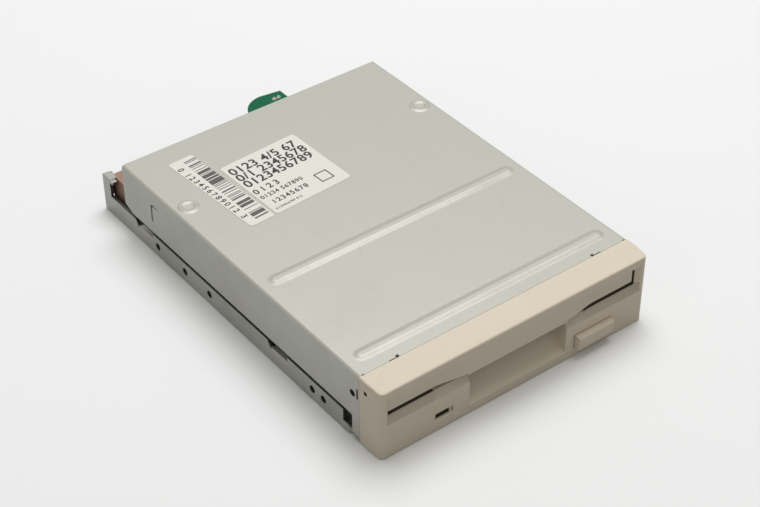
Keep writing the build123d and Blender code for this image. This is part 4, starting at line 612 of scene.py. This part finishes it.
# %% [markdown]
# ## Paper labels
# Two labels lie on the cover. A label is a thin sheet with slightly rounded corners, so it starts as one
# flat quad between its corners, which are bevelled before the quad is given its thickness. It could be
# painted on the cover by a mask, but then it would have no edge. A UV map in millimetres lets the print
# follow the paper, which isn't quite square to the case.

# %% The labels' sheets
PAPER = 0.12
CORNER_ROUND = 1.0
CORNER_STEPS = 4


def on_cover(spots, lift=0.0):
    """Points in mm on the cover's top, from x and the distance behind the front."""
    return [Vector((x, distance + FRONT, COVER_TOP + lift)) for x, distance in spots]


def label_sheet(*spots):
    """Mesh work of a sheet between its near left, near right and far left corners, and its length."""
    origin, near_right, far_left = on_cover(spots)
    across, along = near_right - origin, far_left - origin
    work = bmesh.new()
    print_map = work.loops.layers.uv.new("print")
    corners = [work.verts.new(spot) for spot in (origin, near_right, near_right + along, far_left)]
    work.faces.new(corners)
    rounded(work, corners, CORNER_ROUND, CORNER_STEPS, affect="VERTICES")
    extruded(work, work.faces[:], (0, 0, PAPER))
    for face in work.faces:
        for loop in face.loops:
            offset = loop.vert.co - origin
            loop[print_map].uv = (offset.dot(across) / across.length, offset.dot(along) / along.length)
    print("label in mm:", round(across.length, 1), "by", round(along.length, 1))
    return work, along.length


strip, strip_length = label_sheet((-35.9, 83.9), (-26.8, 84.3), (-39.0, 126.8))
square, _ = label_sheet((-26.0, 84.4), (3.8, 86.1), (-27.1, 115.0))

# %% [markdown]
# The print is plain: bars of uneven width on the one, a ruled square on the other. Each bar's ink is
# decided by a white noise that changes once every bar's width, and masks on the UV map keep a margin
# round it.

# %% The labels' print
PAPER_WHITE, PAPER_SHADE, PRINT_BLACK = (0.80, 0.78, 0.74), (0.73, 0.715, 0.68), (0.03, 0.03, 0.035)
BAR = 0.36
BAR_SEED = 3.0
LEFT_BARE = 0.42
MARGIN = 2.2
BARS_ACROSS = (3.3, 8.5)
SQUARE_ACROSS, SQUARE_ALONG = (21.0, 26.0), (4.0, 9.0)
RULE = 0.5


def paper(name):
    """A label's finish, and the places across and along its print in mm."""
    sheet = Finish(name, PAPER_WHITE)
    place = sheet.add("ShaderNodeUVMap", {"uv_map": "print"}, {})
    across, along = (sheet.add("ShaderNodeSeparateXYZ", {}, {0: place}, output=axis) for axis in "XY")
    return sheet, across, along


def printed(sheet, ink):
    """White paper with ink where a mask says."""
    fibre = sheet.noise(3.0, detail=2.0)
    white = sheet.mix(fibre * 0.4, PAPER_WHITE, PAPER_SHADE)
    sheet.feed({"Base Color": sheet.mix(ink * 0.92, white, PRINT_BLACK)})
    sheet.feed({"Roughness": 0.62 - ink * 0.15})
    sheet.bump(fibre, 0.01, strength=0.3)


def inner(span):
    """A span that is shorter by the ruled line at each end."""
    return span[0] + RULE, span[1] - RULE


strip_paper, across, along = paper("strip label paper")
one_number = {"noise_dimensions": "1D"}
which_bar = {"W": math.floor(along / BAR) + BAR_SEED}
inked = strip_paper.add("ShaderNodeTexWhiteNoise", one_number, which_bar, output="Value") > LEFT_BARE
barred = within(across, *BARS_ACROSS) * within(along, MARGIN, strip_length - MARGIN)
printed(strip_paper, inked * barred)
from_work("strip_label", strip, strip_paper, "frame", "plunger_plastic")

square_paper, across, along = paper("square label paper")
outside = within(across, *SQUARE_ACROSS) * within(along, *SQUARE_ALONG)
inside = within(across, *inner(SQUARE_ACROSS)) * within(along, *inner(SQUARE_ALONG))
printed(square_paper, outside - inside)
from_work("square_label", square, square_paper, "frame", "plunger_plastic")

# %% [markdown]
# The rest of the print is rows of plain digits. A mask could draw them only dot by dot. Text is made as
# a flat curve instead, turned into a mesh and laid on the paper, a hair above it. Its outline is grown a
# little, as ink spreads in paper.

# %% Rows of digits
INK_BLACK, INK_WORN = (0.02, 0.02, 0.024), (0.2, 0.2, 0.2)
INK_LIFT = 0.01
INK_SPREAD = 0.022
# Each row's text, corner, a point that it runs towards, height in mm, and how widely it is spaced
SQUARE_ROWS = (
    ("0123 4/5 67", (-25.8, 109.2), (3.4, 110.7), 5.1, 1.06),
    ("0/1 2345678", (-25.7, 105.1), (3.4, 106.6), 5.1, 1.06),
    ("0123456789", (-25.6, 101.0), (3.4, 102.5), 5.1, 1.06),
    ("0123", (-25.6, 96.4), (-13.5, 97.3), 3.6, 1.5),
    ("01234 567890", (-25.4, 93.2), (-5.8, 94.5), 2.5, 1.15),
    ("12345678", (-23.7, 89.2), (-8.4, 90.3), 2.9, 1.25),
    ("0123456789 012", (-24.8, 86.2), (-14.4, 86.9), 1.4, 1.1),
)
STRIP_ROW = ("0 123456789012 3", (-38.2, 122.6), (-35.5, 86.5), 3.0, 1.5)

ink = Finish("print ink", INK_BLACK)
wear = ink.noise(2.0, detail=2.0).smooth(0.6, 0.75)
ink.feed({"Base Color": ink.mix(wear * 0.4, INK_BLACK, INK_WORN)})


def digits(name, text, corner, toward, height, gap):
    """A row of digits on a label, from a corner towards a point, in mm."""
    curve = bpy.data.curves.new(name, "FONT")
    curve.body = text
    curve.size = height
    curve.space_character = gap
    curve.offset = height * INK_SPREAD
    writer = bpy.data.objects.new(name + "_curve", curve)
    mesh = bpy.data.meshes.new_from_object(writer)
    bpy.data.objects.remove(writer)
    start, end = on_cover((corner, toward), PAPER + INK_LIFT)
    run = end - start
    place = Matrix.Translation(start) @ Matrix.Rotation(math.atan2(run.y, run.x), 4, "Z")
    mesh.transform(Matrix.Scale(MM, 4) @ place)
    finished(name, mesh, ink, "frame", "plunger_plastic")


for index, row in enumerate(SQUARE_ROWS):
    digits(f"digits_{index}", *row)
digits("strip_digits", *STRIP_ROW)

# %% [markdown]
# ## Sills beside the finger pocket
# The slope under the disk slot runs on to the finger pocket, where its end is rounded over. A sill on
# each side carries it past the pocket's corner. It is the slope's own profile, carried along X, which
# keeps the two in line. The bezel's box of deep painted shade would cross the sills, so they get a
# plastic of their own, with only the lighter painted shade of the slope.

# %% Sills
# The slope rises from its foot at the face to its top at SLOPE_BACK, and the sill goes on to SILL_BACK
SLOPE_FOOT, SLOPE_TOP = 12.1, 14.7
SLOPE_BACK, SILL_BACK = 1.5, 4.5
SILL_FACE = 0.01
SILL_LOW = SLOPE_FOOT - 1.0
SILL_ROUND = 1.2
SILL_ENDS = ((-30.5, -18.22), (26.5, 18.72))
NEAR = 0.01
# How dark the painted shade on the sill's slope is
SILL_SLOPE_SHADE = 0.17
SILL_SHADE = {"the slope": ((-31, 27), (0.12, 1.45), (12.2, 14.6), SILL_SLOPE_SHADE)}

sill_outline = (
    (SILL_FACE, SILL_LOW),
    (SILL_FACE, SLOPE_FOOT),
    (SLOPE_BACK, SLOPE_TOP),
    (SILL_BACK, SLOPE_TOP),
    (SILL_BACK, SILL_LOW),
)
sills = bmesh.new()
for slot_end, pocket_end in SILL_ENDS:
    profile = [(slot_end, distance + FRONT, z) for distance, z in sill_outline]
    bar(sills, profile, (pocket_end - slot_end, 0, 0))
    at_end = {v for v in sills.verts if abs(v.co.x - pocket_end) < NEAR and v.co.z > SLOPE_FOOT - NEAR}
    rounded(sills, [edge for edge in sills.edges if at_end.issuperset(edge.verts)], SILL_ROUND, 4)
sill_plastic = beige_plastic("sill plastic", SILL_SHADE)
from_work("slot_sills", sills, sill_plastic, "frame", "beige_plastic")

# %% [markdown]
# ## Caps on the rear posts
# The chassis folds over the top of each rear corner post. The fold is a small plate with a bevelled
# outline, which seats on the post and on its short tab. A narrow strip down the post's rear fold closes
# the gap beside it. Both are too small to be folded in the solids, so they are cut out as plates here.

# %% Post caps
POST_TOP = 14.0
CAP_THICK = 0.3
CAP_ROUND = 0.15
CAP_CORNER = 0.6
CAP_INNER, CAP_OUTER = 48.0, 50.75
CAP_FRONT, CAP_REAR = 145.2, 149.9
FOLD_X, FOLD_DISTANCE, FOLD_HEIGHT = 47.95, 149.6, 9.4
FOLD_SIZE = Matrix.Diagonal((1.1, 0.6, 8.8, 1.0))

cap_outline = (
    (CAP_OUTER, CAP_FRONT),
    (CAP_OUTER, CAP_REAR),
    (CAP_INNER + CAP_CORNER, CAP_REAR),
    (CAP_INNER, CAP_REAR - CAP_CORNER),
    (CAP_INNER, CAP_FRONT + CAP_CORNER),
    (CAP_INNER + CAP_CORNER, CAP_FRONT),
)
caps = bmesh.new()
for side in (-1, 1):
    plate = [(side * x, distance + FRONT, POST_TOP - HAIR) for x, distance in cap_outline]
    bar(caps, plate, (0, 0, CAP_THICK))
rims = [edge for edge in caps.edges if all(v.co.z > POST_TOP for v in edge.verts)]
rounded(caps, rims, CAP_ROUND, 3)
# The strip's front face lies in the rear post's box of painted shade
for side in (-1, 1):
    middle = Matrix.Translation((side * FOLD_X, FOLD_DISTANCE + FRONT, FOLD_HEIGHT))
    bmesh.ops.create_cube(caps, size=1.0, matrix=middle @ FOLD_SIZE)
from_work("rear_post_caps", caps, frame_sheet, "frame", "plated_steel")

# %% [markdown]
# ## Ledges in the side notches
# The foot of each side notch carries a bright ledge, flush with the flange, which leaves the notch open
# only at its rear end. The solid's own ledge lies lower, so a bar with a chamfered outer edge is laid
# over it.

# %% Notch ledges
NOTCH_STARTS = (44.9, 119.8)
LEDGE_LENGTH = 8.5
LEDGE_FOOT, LEDGE_TOP = 4.25, 5.5
LEDGE_INNER, LEDGE_OUTER = 49.0, HALF_WIDTH - HAIR
LEDGE_CHAMFER = 0.25

ledge_outline = (
    (LEDGE_INNER, LEDGE_FOOT),
    (LEDGE_OUTER, LEDGE_FOOT),
    (LEDGE_OUTER, LEDGE_TOP - LEDGE_CHAMFER),
    (LEDGE_OUTER - LEDGE_CHAMFER, LEDGE_TOP),
    (LEDGE_INNER, LEDGE_TOP),
)
ledges = bmesh.new()
for side in (-1, 1):
    for start in NOTCH_STARTS:
        profile = [(side * x, start + HAIR + FRONT, z) for x, z in ledge_outline]
        bar(ledges, profile, (0, LEDGE_LENGTH, 0))
from_work("notch_ledges", ledges, case_sheet, "frame", "plated_steel")

# %% [markdown]
# ## Screw heads
# The boards are held by pan-head screws with a cross recess. A dark cross laid on a head would float
# above it, so the head is rebuilt. A round rim and the outline of the cross are bridged by a flat ring.
# Then the cross is carried inwards and down for the recess, and the rim outwards and down for the dome.


# %% Pan heads with a cross recess
def carry(work, edges, scale, move):
    """Extrude a loop of edges, scale it about the axis and move it along. Returns the new loop."""
    grown = bmesh.ops.extrude_edge_only(work, edges=edges)["geom"]
    verts = [part for part in grown if isinstance(part, bmesh.types.BMVert)]
    bmesh.ops.scale(work, verts=verts, vec=(scale, scale, 1))
    bmesh.ops.translate(work, verts=verts, vec=(0, 0, move))
    return [part for part in grown if isinstance(part, bmesh.types.BMEdge)]


def loop_of(work, points):
    """Edges that join points into a closed loop."""
    verts = [work.verts.new(point) for point in points]
    return [work.edges.new((verts[k - 1], verts[k])) for k in range(len(verts))]


HEAD_SIDES = 32
# Shares of the head's radius
RIM_SHARE, CROSS_LONG, CROSS_WIDE = 0.78, 0.55, 0.14
RECESS_TAPER = 0.62
# Shares of the head's thickness. Each ring of the dome grows by the first number and drops by the second.
RECESS_DEEP = 0.75
DOME = ((1.14, 0.10), (1.09, 0.22))
DOME_FOOT = 0.28
HEAD_SIDE = 0.40


def pan_head(work, radius, thick, shank, length):
    """A head whose top faces along Z, with its seat at height 0 and its shank below."""
    rim, wide, narrow = radius * RIM_SHARE, radius * CROSS_LONG, radius * CROSS_WIDE
    turns = [k * math.tau / HEAD_SIDES for k in range(HEAD_SIDES)]
    circle = [(rim * math.cos(t), rim * math.sin(t), thick) for t in turns]
    cross = []
    for quarter in range(4):
        spin = Matrix.Rotation(quarter * math.pi / 2, 2)
        arm = [spin @ Vector(point) for point in ((wide, -narrow), (wide, narrow), (narrow, narrow))]
        cross += [(*point, thick) for point in arm]
    edge, recess = loop_of(work, circle), loop_of(work, cross)
    bmesh.ops.bridge_loops(work, edges=edge + recess)
    recess = carry(work, recess, RECESS_TAPER, -thick * RECESS_DEEP)
    bmesh.ops.holes_fill(work, edges=recess, sides=0)
    reached = rim
    for growth, drop in DOME:
        edge = carry(work, edge, growth, -thick * drop)
        reached *= growth
    edge = carry(work, edge, radius / reached, -thick * DOME_FOOT)
    edge = carry(work, edge, 1.0, -thick * HEAD_SIDE)
    edge = carry(work, edge, shank / radius, 0.0)
    edge = carry(work, edge, 1.0, -length)
    bmesh.ops.holes_fill(work, edges=edge, sides=0)


HEAD_RADIUS, HEAD_THICK, SHANK_RADIUS = 2.4, 1.1, 1.2
# Each board's screws lie this far from the middle on both sides, and at these distances behind the front
SCREW_PLACES = {"main_board": (37, (108, 131)), "motor_board": (29, (30, 78))}
heads = bmesh.new()
for board_name, (x, distances) in SCREW_PLACES.items():
    under, over = (round(corner.z / MM, 1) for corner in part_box(board_name))
    for distance in distances:
        for side in (-1, 1):
            before = set(heads.verts)
            pan_head(heads, HEAD_RADIUS, HEAD_THICK, SHANK_RADIUS, over - under)
            fresh = [v for v in heads.verts if v not in before]
            seat = Matrix.Translation((side * x, distance + FRONT, under))
            upside_down = Matrix.Rotation(math.pi, 4, "X")
            # Each screw has stopped at a turn of its own
            tightened = Matrix.Rotation(0.3 * x * side + distance, 4, "Z")
            bmesh.ops.transform(heads, matrix=seat @ upside_down @ tightened, verts=fresh)
from_work("board_screw_heads", heads, screw_steel, "frame", "screw_steel", "board_screws")

# %% [markdown]
# ## The lead screw's thread
# The head carriage is driven by a screw with a coarse thread. A thread is one profile carried round and
# along its axis, which is what a spin with a step does: after a whole turn the profile has moved on by
# one pitch, so its two ends meet and are merged. A Screw modifier does the same, but its result would
# still have to be applied before the plain ends are added. Plain rods inside close the thread.

# %% Threaded lead screw
PITCH = 3.0
TURNS = 14
GROOVE = 0.4
STEPS = 32
MERGE = 0.02
JOURNAL_RADIUS, JOURNAL_LENGTH = 1.0, 2.4
RUN_IN = 0.6
# One pitch of the thread as shares of the pitch and depths: its crest, and the bottom of its groove
THREAD_FORM = ((0.0, 0.0), (0.58, 0.0), (0.70, GROOVE), (0.88, GROOVE))

screw_low, screw_high = (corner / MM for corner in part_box("lead_screw"))
screw_x = round((screw_low.x + screw_high.x) / 2, 2)
screw_z = (screw_low.z + screw_high.z) / 2
screw_radius = round((screw_high.x - screw_low.x) / 2, 2)
journal_end = screw_low.y + JOURNAL_LENGTH
thread_start = journal_end + RUN_IN
thread_end = thread_start + (TURNS + 1) * PITCH

thread = bmesh.new()
profile = []
for turn in range(TURNS):
    for share_of_pitch, depth in THREAD_FORM:
        y = thread_start + (turn + share_of_pitch) * PITCH
        profile.append(thread.verts.new((screw_x, y, screw_z + screw_radius - depth)))
profile.append(thread.verts.new((screw_x, thread_start + TURNS * PITCH, screw_z + screw_radius)))
line = [thread.edges.new(pair) for pair in zip(profile, profile[1:])]
bmesh.ops.spin(
    thread,
    geom=profile + line,
    cent=(screw_x, 0, screw_z),
    axis=(0, 1, 0),
    dvec=(0, PITCH / STEPS, 0),
    angle=math.tau,
    steps=STEPS,
    use_merge=False,
)
bmesh.ops.remove_doubles(thread, verts=thread.verts[:], dist=MERGE)

rods = (
    (JOURNAL_RADIUS, screw_low.y, journal_end),
    (screw_radius, journal_end, thread_start + PITCH),
    (screw_radius - GROOVE, thread_start, thread_end),
    (screw_radius, thread_end - PITCH, screw_high.y),
)
along_y = Matrix.Rotation(math.pi / 2, 4, "X")
for radius, start, stop in rods:
    bmesh.ops.create_cone(
        thread,
        cap_ends=True,
        segments=STEPS,
        radius1=radius,
        radius2=radius,
        depth=stop - start,
        matrix=Matrix.Translation((screw_x, (start + stop) / 2, screw_z)) @ along_y,
    )
from_work("lead_screw_thread", thread, ground_steel, "screw", "bright_steel", "lead_screw")

# %% [markdown]
# ## Floor
# The photograph was taken on white paper. A large flat sheet gives the same even ground, and its
# material lifts what the camera sees of it towards white. Stronger lamps could do that too, but then the
# drive would be too bright, so the lamps stay at a plain level.

# %% White paper
FLOOR_REACH = 4.0  # in metres, from its middle to its edge
BOUNCED_GREY, SHOWN_WHITE = (0.46, 0.46, 0.46), (0.915, 0.93, 0.95)
ground = bmesh.new()
bmesh.ops.create_grid(ground, x_segments=1, y_segments=1, size=FLOOR_REACH)
floor_mesh = bpy.data.meshes.new("paper_floor")
ground.to_mesh(floor_mesh)
ground.free()
floor = bpy.data.objects.new("paper_floor", floor_mesh)
bpy.context.scene.collection.objects.link(floor)


def rays(tree, *kinds):
    """1 for light paths of any of those kinds."""
    first, *others = (tree.add("ShaderNodeLightPath", {}, {}, output=f"Is {kind} Ray") for kind in kinds)
    for other in others:
        first = first.at_least(other)
    return first


white_paper = bpy.data.materials.new("white backdrop paper")
tree = Tree(white_paper)
bounced = tree.add("ShaderNodeBsdfDiffuse", {}, {"Color": BOUNCED_GREY})
shown = tree.add("ShaderNodeBsdfDiffuse", {}, {"Color": SHOWN_WHITE})
seen = rays(tree, "Camera", "Glossy")
blend = tree.add("ShaderNodeMixShader", {}, {0: seen, 1: bounced, 2: shown})
tree.add("ShaderNodeOutputMaterial", {}, {"Surface": blend})
floor_mesh.materials.append(white_paper)
print("floor in metres:", 2 * FLOOR_REACH)

# %% [markdown]
# ## Light
# The case's top is bright and its left side and the bezel's front are in soft shade, so the main light
# is a broad one above and behind, a little to the right. A weak one at the front left opens the shade.
# The world fills in the rest, and stands in for the white room that the metal mirrors. What is seen of
# the room is brighter than the light that it gives, so the shade stays soft.


# %% Lamps and world
def softbox(name, place, size, power):
    """A square lamp that faces the drive, in metres and watts."""
    data = bpy.data.lights.new(name, "AREA")
    data.shape = "SQUARE"
    data.size = size
    data.energy = power
    lamp = bpy.data.objects.new(name, data)
    lamp.location = place
    lamp.rotation_mode = "QUATERNION"
    lamp.rotation_quaternion = (-Vector(place)).to_track_quat("-Z", "Y")
    bpy.context.scene.collection.objects.link(lamp)
    print(name, "watts:", power)


softbox("overhead", (0.25, 0.22, 1.15), 0.9, 11.0)
softbox("front_left", (-1.3, -0.4, 0.8), 0.8, 0.9)

ROOM_LIGHT, ROOM_SEEN, ROOM_COLOUR = 0.31, 0.6, (1.0, 0.965, 0.875)
world = bpy.data.worlds.new("white room")
tree = Tree(world)
strength = rays(tree, "Camera", "Glossy", "Transmission") * (ROOM_SEEN - ROOM_LIGHT) + ROOM_LIGHT
sky = tree.add("ShaderNodeBackground", {}, {"Color": ROOM_COLOUR, "Strength": strength})
tree.add("ShaderNodeOutputWorld", {}, {"Surface": sky})
bpy.context.scene.world = world
print("room light:", ROOM_LIGHT, "and as it is seen:", ROOM_SEEN)
